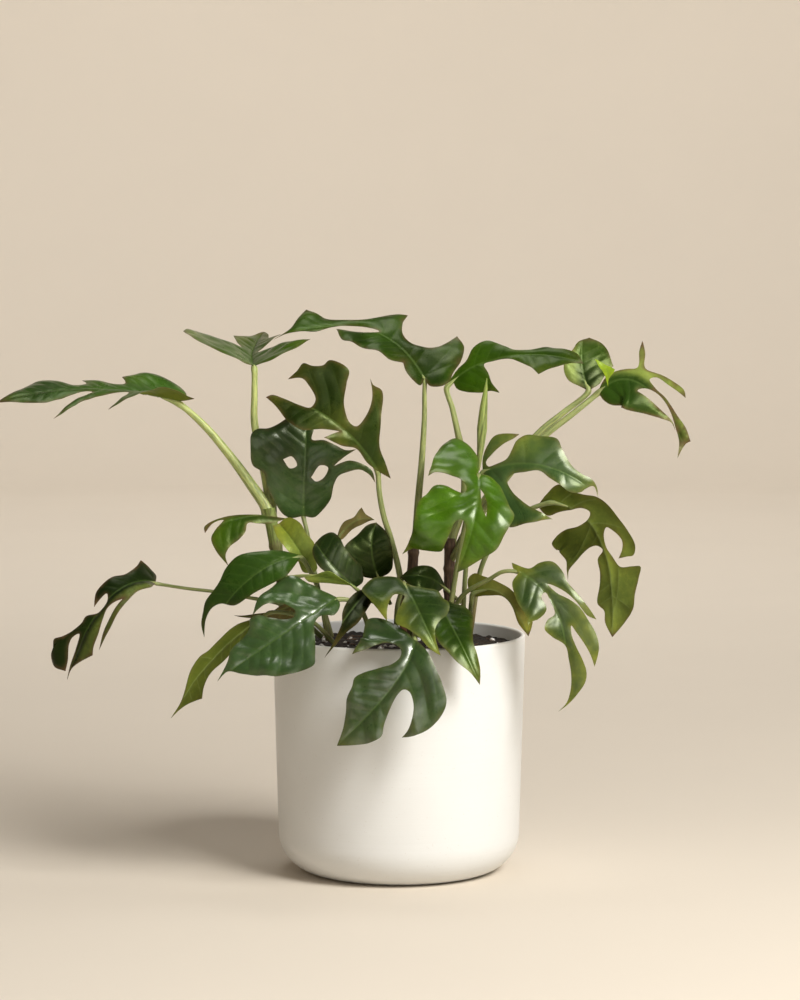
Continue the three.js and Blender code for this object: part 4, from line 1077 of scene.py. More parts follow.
            [32, 57], [32, 66, TIP], [39, 50], [42, 31], [42, 14], [32, 6], [17, 3], [6, 1],
        ],
    ),
    dict(
        name="leaf_20",  # right, hanging
        upper="mature", under=("olive", "pale"), shade=0.78, yellow=0.3, brown=0.5,
        rib=[[102, -14, 98], [134, -26, 74], [142, -30, 10]], face=[0.45, 0.8, 0.2],
        fold=[6, 6], curl=[-10, -10], ripple=0.6,
        margin=[
            [-4, -10, TIP], [-10, -3], [-7, 5], [-2, 14], [4, 21], [5, 26], [0, 28], [-10, 25], [-18, 15],
            [-25, 5], [-30, 0], [-33, 4], [-33, 50], [-33, 68, TIP], [-31, 59], [-21, 50], [-11, 46],
            [-4, 47], [-1, 51], [-7, 56], [-8, 67], [-10, 78], [-12, 88], [-7, 93], [-6, 100], [0, 110, TIP],
            [9, 99], [15, 90], [16, 82], [20, 72], [23, 66], [17, 65], [8, 64], [4, 57], [2, 50], [4, 42],
            [8, 39], [11, 42], [14, 49], [12, 54], [8, 59, TIP], [14, 59], [19, 59], [22, 54], [21, 46],
            [20, 39], [19, 32], [17, 24], [13, 18], [11, 11], [13, 4], [6, -3],
        ],
    ),
    dict(
        name="leaf_21",  # right, low, deeply cut
        upper="bluish", under="olive", shade=0.68, gloss=0.3, yellow=0.45, brown=0.2,
        rib=[[79, -60, 56], [106, -72, 23], [104, -74, -34]], face=[0.1, -0.93, 0.35],
        fold=[6, 6], curl=[-10, -12], ripple=0.5,
        margin=[
            [1, 0, TIP], [0, -5], [-3, -8, TIP], [-5, 4], [-12, 7], [-18, 12], [-18, 19], [-16, 25],
            [-18, 35], [-23, 48, TIP], [-18, 45], [-14, 36], [-10, 27], [-5, 19], [-6, 27], [-11, 34],
            [-15, 40], [-18, 48], [-21, 55], [-22, 62], [-19, 73, TIP], [-16, 66], [-12, 59], [-8, 52],
            [-6, 48], [-5, 53], [-7, 61], [-11, 69], [-14, 76], [-14, 82], [-10, 90], [-5, 98], [0, 104, TIP],
            [-4, 97], [-5, 88], [-4, 78], [-2, 69], [0, 60], [8, 53], [12, 46], [8, 40], [2, 38], [1, 30],
            [0, 22], [4, 23], [6, 33], [14, 37], [20, 37], [24, 47, TIP], [20, 29], [19, 16], [14, 5], [9, 0],
        ],
    ),
    dict(
        name="leaf_22",  # right, rolled, behind the last
        upper="mature", under=("olive", "tan"), shade=1.6, yellow=0.9, brown=0.5,
        rib=[[50, -34, 39], [69, -46, 39], [85, -50, 13]], face=[0.2, 0.9, 0.1],
        fold=[15, 15], curl=[10, 10], ripple=0,
        margin=[
            [-3, -1, TIP], [-4, 4], [-4, 14], [-1, 25], [-1, 34], [-3, 46], [0, 56, TIP], [5, 50], [9, 42],
            [6, 33], [6, 25], [6, 17], [9, 9], [12, 5], [11, 1], [5, -3],
        ],
    ),
    dict(
        name="leaf_23",  # front left, narrow
        petiole=8,
        upper="deep", under="olive", shade=0.15, yellow=0.1, brown=0.3,
        rib=[[-16, -51, 46], [-34, -82, 29], [-48, -98, 4]], face=[-0.1, -0.85, 0.5],
        fold=[8, 8], curl=[-14, -14], ripple=0,
        margin=[
            [0, 0, TIP], [-7, 17], [-9, 30], [-9, 43], [-6, 52], [-3, 62], [0, 73, TIP], [-1, 60], [0, 47],
            [4, 38], [6, 27], [5, 15],
        ],
    ),
    dict(
        name="leaf_24",  # middle, round
        petiole=24,
        upper="deep", under="olive", shade=0.5, yellow=0.0, brown=0.2,
        rib=[[-13, -39, 49], [-18, -46, 69], [-15, -36, 86]], face=[0, -0.9, 0.45],
        fold=[6, 6], curl=[-14, -14], ripple=0,
        margin=[
            [0, 0, TIP], [-9, 7], [-16, 14], [-20, 21], [-17, 25], [-10, 31], [-5, 39], [0, 43, TIP], [8, 37],
            [13, 26], [13, 12], [9, 0],
        ],
    ),
    dict(
        name="leaf_25",  # left of the middle, round
        petiole=20,
        upper="deep", under="olive", shade=0.8, gloss=0.25, yellow=0.0, brown=0.2,
        rib=[[-28, -58, 45], [-42, -65, 59], [-55, -56, 75]], face=[-0.1, -0.85, 0.5],
        fold=[6, 6], curl=[-14, -18], ripple=0,
        margin=[
            [0, 0, TIP], [-3, 15], [-7, 26], [-7, 32], [-5, 39], [0, 44, TIP], [7, 46], [13, 44], [15, 37],
            [14, 29], [14, 20], [13, 2], [7, -4],
        ],
    ),
    dict(
        name="leaf_26",  # middle, back, seen from below
        petiole=12,
        upper="mature", under="tan", shade=1.5, yellow=0.0, brown=0.3,
        rib=[[-42, -2, 71], [-30, -3, 84], [-17, -2, 85]], face=[0, 0.9, 0.3],
        fold=[6, 6], curl=[-10, -10], ripple=0,
        margin=[
            [0, 0, TIP], [-3, 3], [-4, 13], [-4, 23], [0, 32, TIP], [3, 26], [8, 24, TIP], [3, 19], [4, 13],
            [3, 8],
        ],
    ),
    dict(
        name="leaf_27",  # left of the middle, narrow
        petiole=16,
        upper=("pale", "mature"), under="pale", shade=2.3, yellow=0.3, brown=0.2,
        rib=[[-62, -64, 53], [-46, -70, 53], [-30, -72, 48]], face=[0, -0.6, -0.8],
        fold=[10, 10], curl=[-10, -10], ripple=0,
        margin=[
            [0, 0, TIP], [-2, 8], [-10, 18], [-5, 24], [0, 34, TIP], [5, 21], [7, 10], [5, 1],
        ],
    ),
    dict(
        name="leaf_28",  # left, narrow, behind the large one
        petiole=14,
        upper="mature", under="tan", yellow=0.0, brown=0.3,
        rib=[[-65, -42, 36], [-85, -46, 28], [-108, -44, 25]], face=[0, 0.7, 0.7],
        fold=[4, 4], curl=[-6, -6], ripple=0,
        margin=[
            [0, 0, TIP], [-3, 9], [-3, 15], [0, 21], [-1, 33], [-1, 46, TIP], [3, 33], [8, 21], [14, 12],
            [12, 4],
        ],
    ),
    dict(
        name="leaf_29",  # middle, behind the front leaf
        petiole=24,
        upper="deep", under="olive", shade=1.3, yellow=0.0, brown=0.2,
        rib=[[31, -30, 42], [17, -44, 51], [1, -44, 51]], face=[0, -0.9, 0.45],
        fold=[6, 6], curl=[-10, -10], ripple=0,
        margin=[
            [1, 0, TIP], [-8, 11], [-10, 24], [-6, 33], [0, 39, TIP], [4, 33], [7, 26], [8, 18], [6, 10],
        ],
    ),
    dict(
        name="sheath_left",  # opened sheath around the left shoot
        upper=("pale", "olive"), under="pale", shade=1.2, yellow=0.5, brown=0.3, sway=0.5,
        rib=[[-58, -36, 52], [-67, -40, 70], [-79, -34, 85]], face=[0.2, -0.95, 0.2],
        fold=[25, 25], curl=[0, 0], ripple=0,
        margin=[
            [1, 0, TIP], [-5, 5], [-5, 14], [-8, 22], [-8, 33], [-5, 42, TIP], [7, 40], [11, 32], [10, 25],
            [11, 17], [7, 12], [5, 2],
        ],
    ),
]


# ---- finishes ----


@once
def glaze_material():
    """Satin cream glaze with a cloudy tone, fine specks and faint turning marks."""
    paint = bpy.context.scene.plant_pot
    material, tree, shader = new_material(
        "cream_glaze", IOR=1.5, Coat_Weight=0.12, Coat_Roughness=0.25, Specular_IOR_Level=0.45
    )
    place_at = tree.node("ShaderNodeTexCoord").outputs["Object"]
    tone = tree.group(
        mottle_group(),
        {"Vector": place_at, "Scale": 9.0, "Spread": 1.6, "Dark": paint.glaze_warm, "Light": paint.glaze},
    )
    height = tree.node("ShaderNodeSeparateXYZ", {0: place_at}).outputs["Z"]
    lip = tree.rise(height, POT_BOX[1].z - 2.2 * MM, POT_BOX[1].z - 0.4 * MM)
    base = tree.mix(tree.math("MULTIPLY", lip, 0.45), tone.outputs["Colour"], (0.86, 0.83, 0.77))
    specks = tree.rise(tree.cells(place_at, 420.0), 0.10, 0.22, 0.55, 0.0)
    rare = tree.rise(tree.noise(place_at, 150.0, 2.0), 0.52, 0.62)
    base = tree.mix(tree.math("MULTIPLY", tree.math("MULTIPLY", specks, rare), 0.3), base, paint.speck)
    tree.put(shader.inputs["Base Color"], base)
    cloud = tree.noise(place_at, 55.0, 4.0)
    tree.put(shader.inputs["Roughness"], tree.rise(cloud, 0.35, 0.65, 0.33, 0.47))
    rings = tree.noise(tree.place(place_at, (6.0, 6.0, 420.0)), 1.0, 3.0, 0.5)
    relief = tree.math("MULTIPLY_ADD", tree.noise(place_at, 260.0, 3.0), 0.35, rings)
    tree.put(shader.inputs["Normal"], tree.bump(relief, 0.25, 0.35 * MM))
    return material


@once
def soil_material():
    """Moist dark potting mix with paler dry crumbs, and painted shade in the gaps between the crumbs."""
    paint = bpy.context.scene.plant_soil
    material, tree, shader = new_material("potting_mix", Specular_IOR_Level=0.35)
    place_at = tree.node("ShaderNodeTexCoord").outputs["Object"]
    tone = tree.group(
        mottle_group(),
        {"Vector": place_at, "Scale": 140.0, "Spread": 3.2, "Dark": paint.dark, "Light": paint.light},
    )
    crumbs = tree.cells(place_at, 700.0)
    # Painted shade: the soil turns darker in the gaps between the crumbs.
    base = tree.mix(tree.rise(crumbs, 0.1, 0.7, 0.0, 0.65), tone.outputs["Colour"], paint.dark)
    tree.put(shader.inputs["Base Color"], base)
    tree.put(shader.inputs["Roughness"], tree.rise(tone.outputs["Cloud"], 0.0, 1.0, 0.62, 0.95))
    relief = tree.math("MULTIPLY_ADD", tree.noise(place_at, 1500.0, 5.0, 0.7), 0.6, crumbs)
    tree.put(shader.inputs["Normal"], tree.bump(relief, 0.9, 0.9 * MM))
    return material


@once
def perlite_material():
    """Chalky white volcanic glass, darker in its pores and dusted with soil."""
    paint = bpy.context.scene.plant_soil
    material, tree, shader = new_material("perlite", Specular_IOR_Level=0.3)
    place_at = tree.node("ShaderNodeTexCoord").outputs["Object"]
    pores = tree.cells(place_at, 2200.0)
    dust = tree.rise(tree.noise(place_at, 330.0, 4.0), 0.45, 0.68)
    base = tree.mix(tree.rise(pores, 0.0, 0.35, 0.5, 0.0), paint.perlite, (0.36, 0.32, 0.26))
    tree.put(shader.inputs["Base Color"], tree.mix(dust, base, (0.17, 0.12, 0.085)))
    tree.put(shader.inputs["Roughness"], tree.rise(pores, 0.0, 0.6, 0.95, 0.75))
    tree.put(shader.inputs["Normal"], tree.bump(pores, 0.8, 0.3 * MM))
    return material


@once
def chip_material():
    """Fibrous brown bark chips and coir."""
    paint = bpy.context.scene.plant_soil
    material, tree, shader = new_material("bark_chip", Specular_IOR_Level=0.3)
    place_at = tree.node("ShaderNodeTexCoord").outputs["Object"]
    tone = tree.group(
        mottle_group(),
        {
            "Vector": place_at, "Scale": 210.0, "Spread": 2.6,
            "Dark": (0.028, 0.016, 0.01), "Light": paint.bark,
        },
    )
    tree.put(shader.inputs["Base Color"], tone.outputs["Colour"])
    tree.put(shader.inputs["Roughness"], tree.rise(tone.outputs["Cloud"], 0.0, 1.0, 0.8, 0.6))
    fibres = tree.noise(tree.place(place_at, (1500.0, 1500.0, 300.0)), 1.0, 4.0, 0.65)
    tree.put(shader.inputs["Normal"], tree.bump(fibres, 0.8, 0.4 * MM))
    return material


def blade_material(name, vein_colour, rib_strength, vein_strength, roughness, relief, gloss, **constants):
    """One side of a blade: its own tone with veins, small cells and an uneven gloss."""
    material, tree, shader = new_material(name, **constants)
    flat = tree.uv("blade")
    tone = tree.attribute("tone", "Color")
    broad = tree.noise(flat, 9.0, 3.0, 0.6, 0.4)
    fine = tree.noise(flat, 60.0, 4.0, 0.65)
    base = tree.tinted(tree.rise(broad, 0.36, 0.64, 0.0, 0.55), tone, tone, (0.62, 0.68, 0.60))
    base = tree.tinted(tree.rise(fine, 0.42, 0.70, 0.0, 0.35), base, tone, (1.45, 1.35, 1.15))
    cells = tree.cells(flat, 230.0, "DISTANCE_TO_EDGE")
    base = tree.mix(tree.rise(cells, 0.0, 0.09, 0.07, 0.0), base, vein_colour)
    worn = tree.rise(fine, 0.3, 0.7, 0.75, 1.0)
    lines = []
    for attribute, strength in (("rib", rib_strength), ("vein", vein_strength)):
        line = tree.math("MULTIPLY", tree.rise(tree.attribute(attribute), 0.15, 1.0, 1.0, 0.0), worn)
        base = tree.mix(tree.math("MULTIPLY", line, strength), base, vein_colour)
        lines.append(line)
    line = tree.math("MAXIMUM", *lines)
    scars = tree.rise(tree.noise(flat, 34.0, 5.0, 0.7), 0.665, 0.73)
    base = tree.mix(tree.math("MULTIPLY", scars, 0.45), base, bpy.context.scene.plant_leaf.brown)
    tree.put(shader.inputs["Base Color"], base)
    patchy = tree.math("MULTIPLY_ADD", broad, 0.30, tree.math("MULTIPLY", fine, 0.16))
    rough = tree.math("MULTIPLY_ADD", line, 0.10, tree.math("ADD", patchy, roughness - 0.23))
    tree.put(shader.inputs["Roughness"], rough)
    if gloss:
        sheen = tree.rise(broad, 0.38, 0.58, 0.35, 1.0)
        tree.put(shader.inputs["Coat Weight"], tree.math("MULTIPLY", tree.attribute("gloss"), sheen))
    skin = tree.group(skin_group(), {"Vector": flat, "Cell": 420.0})
    small = tree.bump(skin.outputs["Height"], 0.22, 0.16 * MM)
    tree.put(shader.inputs["Normal"], tree.bump(tree.noise(flat, 24.0, 3.0), 0.5, relief * MM, small))
    return material


@once
def blade_upper_material():
    """Glossy upper side of a blade."""
    return blade_material(
        "blade_upper",
        bpy.context.scene.plant_leaf.vein,
        0.30,
        0.06,
        0.31,
        0.35,
        True,
        IOR=1.45,
        Specular_IOR_Level=0.28,
        Specular_Tint=(0.8, 1.0, 0.3, 1.0),
        Coat_IOR=1.9,
        Coat_Roughness=0.27,
        Subsurface_Weight=0.05,
        Subsurface_Radius=(0.6, 1.0, 0.25),
        Subsurface_Scale=0.8 * MM,
    )


@once
def blade_under_material():
    """Matte paler underside of a blade."""
    return blade_material(
        "blade_under",
        bpy.context.scene.plant_leaf.underside_vein,
        0.50,
        0.25,
        0.50,
        0.3,
        False,
        IOR=1.42,
        Specular_IOR_Level=0.22,
        Specular_Tint=(0.9, 1.0, 0.5, 1.0),
        Subsurface_Weight=0.05,
        Subsurface_Radius=(0.6, 1.0, 0.25),
        Subsurface_Scale=0.8 * MM,
    )


@once
def stalk_material():
    """Waxy green stalk with paler and darker streaks and small scars."""
    material, tree, shader = new_material(
        "stalk_skin", IOR=1.45, Specular_IOR_Level=0.45, Subsurface_Weight=0.1, Subsurface_Scale=1.0 * MM
    )
    turn = tree.uv("stalk")
    tone = tree.attribute("tone", "Color")
    streak = tree.group(streak_group(), {"Vector": turn, "Around": 2.2, "Along": 60.0}).outputs["Streak"]
    fine = tree.group(streak_group(), {"Vector": turn, "Around": 7.0, "Along": 260.0}).outputs["Streak"]
    dark = tree.mix(1.0, tone, (0.42, 0.46, 0.40), "MULTIPLY")
    base = tree.mix(tree.rise(streak, 0.40, 0.62, 0.0, 0.85), tone, dark)
    base = tree.tinted(tree.rise(fine, 0.45, 0.70, 0.0, 0.40), base, tone, (1.5, 1.45, 1.35))
    scars = tree.rise(fine, 0.66, 0.72, 0.0, 0.55)
    base = tree.mix(scars, base, bpy.context.scene.plant_leaf.brown)
    tree.put(shader.inputs["Base Color"], base)
    tree.put(shader.inputs["Roughness"], tree.rise(streak, 0.3, 0.7, 0.36, 0.55))
    tree.put(shader.inputs["Normal"], tree.bump(tree.math("MULTIPLY_ADD", fine, 0.4, streak), 0.5, 0.35 * MM))
    return material


@once
def stem_material():
    """Old brown stem with ridged bark that turns green towards its top."""
    paint = bpy.context.scene.plant_stalk
    material, tree, shader = new_material("stem_bark", Specular_IOR_Level=0.35)
    turn = tree.uv("stalk")
    tone = tree.attribute("tone", "Color")
    ridges = tree.group(streak_group(), {"Vector": turn, "Around": 3.0, "Along": 90.0}).outputs["Streak"]
    fine = tree.group(streak_group(), {"Vector": turn, "Around": 9.0, "Along": 500.0}).outputs["Streak"]
    base = tree.tinted(tree.rise(ridges, 0.42, 0.62, 0.0, 0.7), tone, tone, (0.35, 0.33, 0.30))
    base = tree.mix(tree.rise(fine, 0.50, 0.72, 0.0, 0.55), base, paint.bark_light)
    tree.put(shader.inputs["Base Color"], base)
    tree.put(shader.inputs["Roughness"], tree.rise(fine, 0.3, 0.7, 0.55, 0.8))
    tree.put(shader.inputs["Normal"], tree.bump(tree.math("MULTIPLY_ADD", fine, 0.5, ridges), 0.8, 0.8 * MM))
    return material


@once
def floor_material():
    """Plain pale floor with a barely uneven tone, whose rising edge gives off a little light."""
    paint = bpy.context.scene.plant_stage
    material, tree, shader = new_material("plain_floor", Specular_IOR_Level=0.2, Emission_Strength=0.06)
    place_at = tree.node("ShaderNodeTexCoord").outputs["Object"]
    cloud = tree.noise(place_at, 3.0, 3.0)
    tree.put(
        shader.inputs["Base Color"],
        tree.mix(tree.rise(cloud, 0.3, 0.7, 0.0, 0.12), paint.floor, [part * 0.9 for part in paint.floor]),
    )
    tree.put(shader.inputs["Roughness"], tree.rise(cloud, 0.3, 0.7, 0.75, 0.85))
    across = tree.mix(1.0, place_at, (1.0, 1.0, 0.0), "MULTIPLY")
    out = tree.node("ShaderNodeVectorMath", {0: across}, operation="LENGTH").outputs["Value"]
    glow = tree.rise(out, paint.radius * 0.5, paint.radius * 0.8)
    tree.put(shader.inputs["Emission Color"], tree.mix(glow, (0.0, 0.0, 0.0), paint.floor))
    return material


# ---- pot and soil ----


def spun(x, y, angle):
    """A flat point turned about the middle."""
    return x * math.cos(angle) - y * math.sin(angle), x * math.sin(angle) + y * math.cos(angle)


def round_points(cx, cy, radius, start, end, count):
    """Radius and height along a round, from one angle to another in degrees."""
    angles = np.radians(np.linspace(start, end, count + 1))
    return [(cx + radius * math.cos(a), cy + radius * math.sin(a)) for a in angles]


def pot_outline(pot):
    """Radius and height of the pot from the edge of its foot, over the lip and down inside."""
    top, foot, wall = POT_BOX[1].z, pot.foot_round, pot.wall
    foot_centre = RIM - pot.taper - foot
    points = round_points(foot_centre, foot, foot, -90, 0, 16)
    for share in np.linspace(0, 1, 14)[1:-1]:
        height = foot + (top - wall / 2 - foot) * share
        points.append((RIM - pot.taper * (top - height) / (top - foot), height))
    points += round_points(RIM - wall / 2, top - wall / 2, wall / 2, 0, 180, 10)
    inner = round_points(foot_centre, foot, foot - wall, 0, -90, 12)
    lip_radius, lip_height = points[-1]
    for share in np.linspace(0, 1, 14)[1:-1]:
        points.append(
            (lip_radius + (inner[0][0] - lip_radius) * share, lip_height + (inner[0][1] - lip_height) * share)
        )
    return points + inner


def turn_up(outline, segments, name):
    """A solid pulled up ring by ring from a filled circle, along an outline of radius and height."""
    deselect()
    radius, height = outline[0]
    bpy.ops.mesh.primitive_circle_add(
        vertices=segments, radius=radius, fill_type="NGON", location=(0, 0, height)
    )
    obj = bpy.context.object
    bpy.ops.object.transform_apply(location=True)
    obj.name = obj.data.name = name
    bpy.ops.object.mode_set(mode="EDIT")
    bpy.ops.mesh.select_all(action="SELECT")
    for new_radius, new_height in outline[1:]:
        bpy.ops.mesh.extrude_region_move(TRANSFORM_OT_translate={"value": (0, 0, new_height - height)})
        share = new_radius / radius
        bpy.ops.transform.resize(value=(share, share, 1), center_override=(0, 0, 0))
        radius, height = new_radius, new_height
    bpy.ops.mesh.select_all(action="SELECT")
    bpy.ops.mesh.normals_make_consistent(inside=False)
    bpy.ops.object.mode_set(mode="OBJECT")
    return obj


class PLANT_OT_pot(bpy.types.Operator):
    """Turns the pot and glazes it"""

    bl_idname = "plant.pot"
    bl_label = "Pot"

    def execute(self, context):
        pot = context.scene.plant_pot
        obj = turn_up(pot_outline(pot), pot.segments, "glazed_pot")
        obj.data.materials.append(glaze_material())
        activate(obj)
        bpy.ops.object.shade_smooth_by_angle(angle=math.radians(40))
        finish_piece(obj, "pot", "pot")
        return {"FINISHED"}


def soil_height(x, y, relief):
    """How far the soil's crumbs rise above its level at a place."""
    clods = noise.noise((x * 60, y * 60, 2.0)) * 0.45
    crumbs = noise.turbulence((x * 230, y * 230, 5.0), 4, False, amplitude_scale=0.6, frequency_scale=2.1)
    return relief * (clods + crumbs * 0.55 - 0.25)


class PLANT_OT_soil(bpy.types.Operator):
    """Fills the pot with crumbly soil, perlite, bark chips and fibres"""

    bl_idname = "plant.soil"
    bl_label = "Soil"

    def execute(self, context):
        soil = context.scene.plant_soil
        pot = context.scene.plant_pot
        low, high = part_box("potting_soil")
        rim = high.x - 0.1 * MM
        foot = pot.foot_round - pot.wall - 0.4 * MM
        centre = RIM - pot.taper - pot.foot_round
        outline = round_points(centre, pot.foot_round, foot, -90, 0, 8)
        outline.append((rim, SOIL_TOP - 1.5 * MM))
        outline += [
            (rim * (1 - i / soil.rings) + 0.3 * MM * (i / soil.rings), SOIL_TOP - 1.2 * MM)
            for i in range(soil.rings + 1)
        ]
        obj = turn_up(outline, 220, "potting_mix")
        obj.data.materials.append(soil_material())
        for vertex in obj.data.vertices:
            if vertex.co.z > SOIL_TOP - 1.3 * MM:
                vertex.co.z += soil_height(vertex.co.x, vertex.co.y, soil.relief)
                out = vertex.co.xy.length
                if out > rim - 3 * MM:
                    vertex.co.z += (out - rim + 3 * MM) * 0.35
        obj.data.shade_smooth()
        finish_piece(obj, "soil", "potting_soil")
        self.add_grains(soil, rim)
        return {"FINISHED"}

    def add_grains(self, soil, rim):
        """Perlite, bark chips and fibres lying in the crumbs."""
        rng = random.Random(11)
        perlite = self.scatter(rng, soil, rim, soil.perlite_count, self.grain, "perlite_grains")
        perlite.data.materials.append(perlite_material())
        bark = self.scatter(rng, soil, rim, soil.bark_count, self.chip, "bark_chips")
        bark.data.materials.append(chip_material())
        fibre = self.scatter(rng, soil, rim, soil.fibre_count, self.fibre, "coir_fibres")
        fibre.data.materials.append(chip_material())
        for obj in (perlite, bark, fibre):
            obj.data.shade_smooth()
            finish_piece(obj, "soil")

    def scatter(self, rng, soil, rim, count, shape, name):
        """Many small shapes on the soil, in one mesh."""
        points, faces = [], []
        for _ in range(count):
            out = rim * 0.965 * math.sqrt(rng.random())
            turn = rng.uniform(0, 2 * math.pi)
            x, y = out * math.cos(turn), out * math.sin(turn)
            z = SOIL_TOP - 1.2 * MM + soil_height(x, y, soil.relief)
            shape_points, shape_faces = shape(rng)
            first = len(points)
            points += [(x + p[0], y + p[1], z + p[2]) for p in shape_points]
            faces += [tuple(first + i for i in face) for face in shape_faces]
        return mesh_object(name, points, faces, [])

    def grain(self, rng):
        """A lumpy perlite grain, rounder below than above."""
        size = rng.choice((0.7, 0.9, 1.1, 1.4, 1.9, 2.4)) * MM
        tilt, spin = rng.uniform(-0.6, 0.6), rng.uniform(0, 6.28)
        rings, sides = 4, 7
        points = [(0.0, 0.0, -size)]
        for i in range(1, rings):
            rise = -math.cos(math.pi * i / rings)
            wide = math.sin(math.pi * i / rings)
            for j in range(sides):
                turn = 2 * math.pi * (j + 0.5 * (i % 2)) / sides + spin
                radius = size * wide * rng.uniform(0.72, 1.15)
                lift = size * rise * rng.uniform(0.6, 0.9)
                points.append((radius * math.cos(turn), radius * math.sin(turn), lift))
        points.append((0.0, 0.0, size * 0.85))
        points = [(x, *spun(y, z, tilt)) for x, y, z in points]
        faces = [(0, 1 + (j + 1) % sides, 1 + j) for j in range(sides)]
        for i in range(rings - 2):
            for j in range(sides):
                a, b = 1 + i * sides + j, 1 + i * sides + (j + 1) % sides
                faces.append((a, b, b + sides, a + sides))
        last = 1 + (rings - 2) * sides
        top = len(points) - 1
        faces += [(last + j, last + (j + 1) % sides, top) for j in range(sides)]
        return points, faces

    def chip(self, rng):
        """A flat splinter of bark with broken ends."""
        size = Vector((rng.uniform(2.0, 5.5), rng.uniform(1.0, 2.4), rng.uniform(0.4, 0.9))) * MM
        spin, tilt = rng.uniform(0, 6.28), rng.uniform(-0.35, 0.35)
        points, faces = [], []
        cuts, ring = 4, 6
        for i in range(cuts):
            x = (i / (cuts - 1) - 0.5) * 2 * size.x
            narrow = 0.55 if i in (0, cuts - 1) else rng.uniform(0.85, 1.1)
            for j in range(ring):
                turn = 2 * math.pi * j / ring
                y = size.y * narrow * math.cos(turn) * rng.uniform(0.85, 1.1)
                z = size.z * narrow * math.sin(turn) * rng.uniform(0.7, 1.2) + x * math.tan(tilt)
                points.append((*spun(x, y, spin), z))
        for i in range(cuts - 1):
            for j in range(ring):
                k = (j + 1) % ring
                faces.append((i * ring + j, (i + 1) * ring + j, (i + 1) * ring + k, i * ring + k))
        faces.append(tuple(range(ring)))
        faces.append(tuple(reversed(range((cuts - 1) * ring, cuts * ring))))
        return points, faces

    def fibre(self, rng):
        """A thin bent fibre."""
        long, spin = rng.uniform(4.0, 11.0) * MM, rng.uniform(0, 6.28)
        bow, lift = rng.uniform(-2.0, 2.0) * MM, rng.uniform(0.3, 1.4) * MM
        route = []
        for t in np.linspace(-0.5, 0.5, 7):
            x, y = long * t, bow * (1 - 4 * t * t)
            z = lift * (1 - 4 * t * t) - 0.1 * MM
            route.append((*spun(x, y, spin), z))
        points, faces, _ = tube(route, [rng.uniform(0.12, 0.25) * MM] * 7, 5)
        return [tuple(p) for p in points], faces


# ---- blades ----


BLADES = {}


class PLANT_OT_leaves(bpy.types.Operator):
    """Cuts and bends every blade, and the sheath of the left shoot"""

    bl_idname = "plant.leaves"
    bl_label = "Leaves"

    def execute(self, context):
        settings = context.scene.plant_leaf
        paints = [blade_upper_material(), blade_under_material()]
        for number, leaf in enumerate(LEAVES):
            obj, blade = build_blade(leaf, number, settings, paints)
            BLADES[leaf["name"]] = blade
            if "petiole" in leaf:
                obj = self.add_petiole(obj, blade, leaf["petiole"], context.scene.plant_stalk)
            activate(obj)
            bpy.ops.object.shade_smooth_by_angle(angle=math.radians(60))
            slot = "young_leaf" if leaf["name"] in ("leaf_07", "sheath_left") else "leaf"
            finish_piece(obj, slot, leaf["name"])
        return {"FINISHED"}

    def add_petiole(self, obj, blade, long, stalk):
        """Joins a short stalk to a blade that has none of its own."""
        reach = np.linspace(-long, 9.0, 18)
        zero = np.zeros(len(reach))
        under = blade.at(zero, reach) - blade.normal_at(zero + 0.01, reach) * 0.9
        radii = np.interp(reach, (-long, -2, 9), (1.25, 1.2, 0.45)) * MM
        petiole = stalk_object("petiole", place(under * MM), radii, [stalk.green] * len(reach), stalk)
        activate(petiole)
        obj.select_set(True)
        bpy.context.view_layer.objects.active = obj
        bpy.ops.object.join()
        return obj


# ---- stems and stalks ----


def stalk_object(name, route, radii, tones, stalk, flat=1.0, sides=None):
    """A smooth closed tube with its tone and its map of turn and length."""
    sides = sides or stalk.sides
    points, faces, turns = tube(route, radii, sides, flat)
    obj = mesh_object(name, points, faces, [stalk_material()])
    add_uv(obj.data, "stalk", turns)
    tones = np.asarray([tuple(t) for t in tones], float)
    add_colours(obj.data, "tone", np.concatenate([np.repeat(tones, sides, axis=0), tones[:1], tones[-1:]]))
    return obj


# Each stem's route from the soil up, in mm from the soil's middle, its radius at its foot and top,
# and how far up it its bark turns green.
STEMS = dict(
    stem_left=(
        [(-72, -22, -4), (-77, -20, 33), (-79, -16, 53), (-83, -13, 71), (-87, -9, 93)], 3.6, 4.2, 0.75
    ),
    stem_middle=([(7, -14, -4), (8, -13, 32), (10, -12, 69)], 4.0, 3.4, 1.2),
    stem_right=([(36, -10, -4), (34, -10, 32), (34, -8, 73)], 4.0, 3.6, 1.2),
)


def stalk_route(route, radii=(1.7, 1.6, 1.5), red=0.0, light=0.75):
    """A leaf stalk's route and radii from its foot to its leaf, its red foot and its lightness."""
    return route, radii, red, light


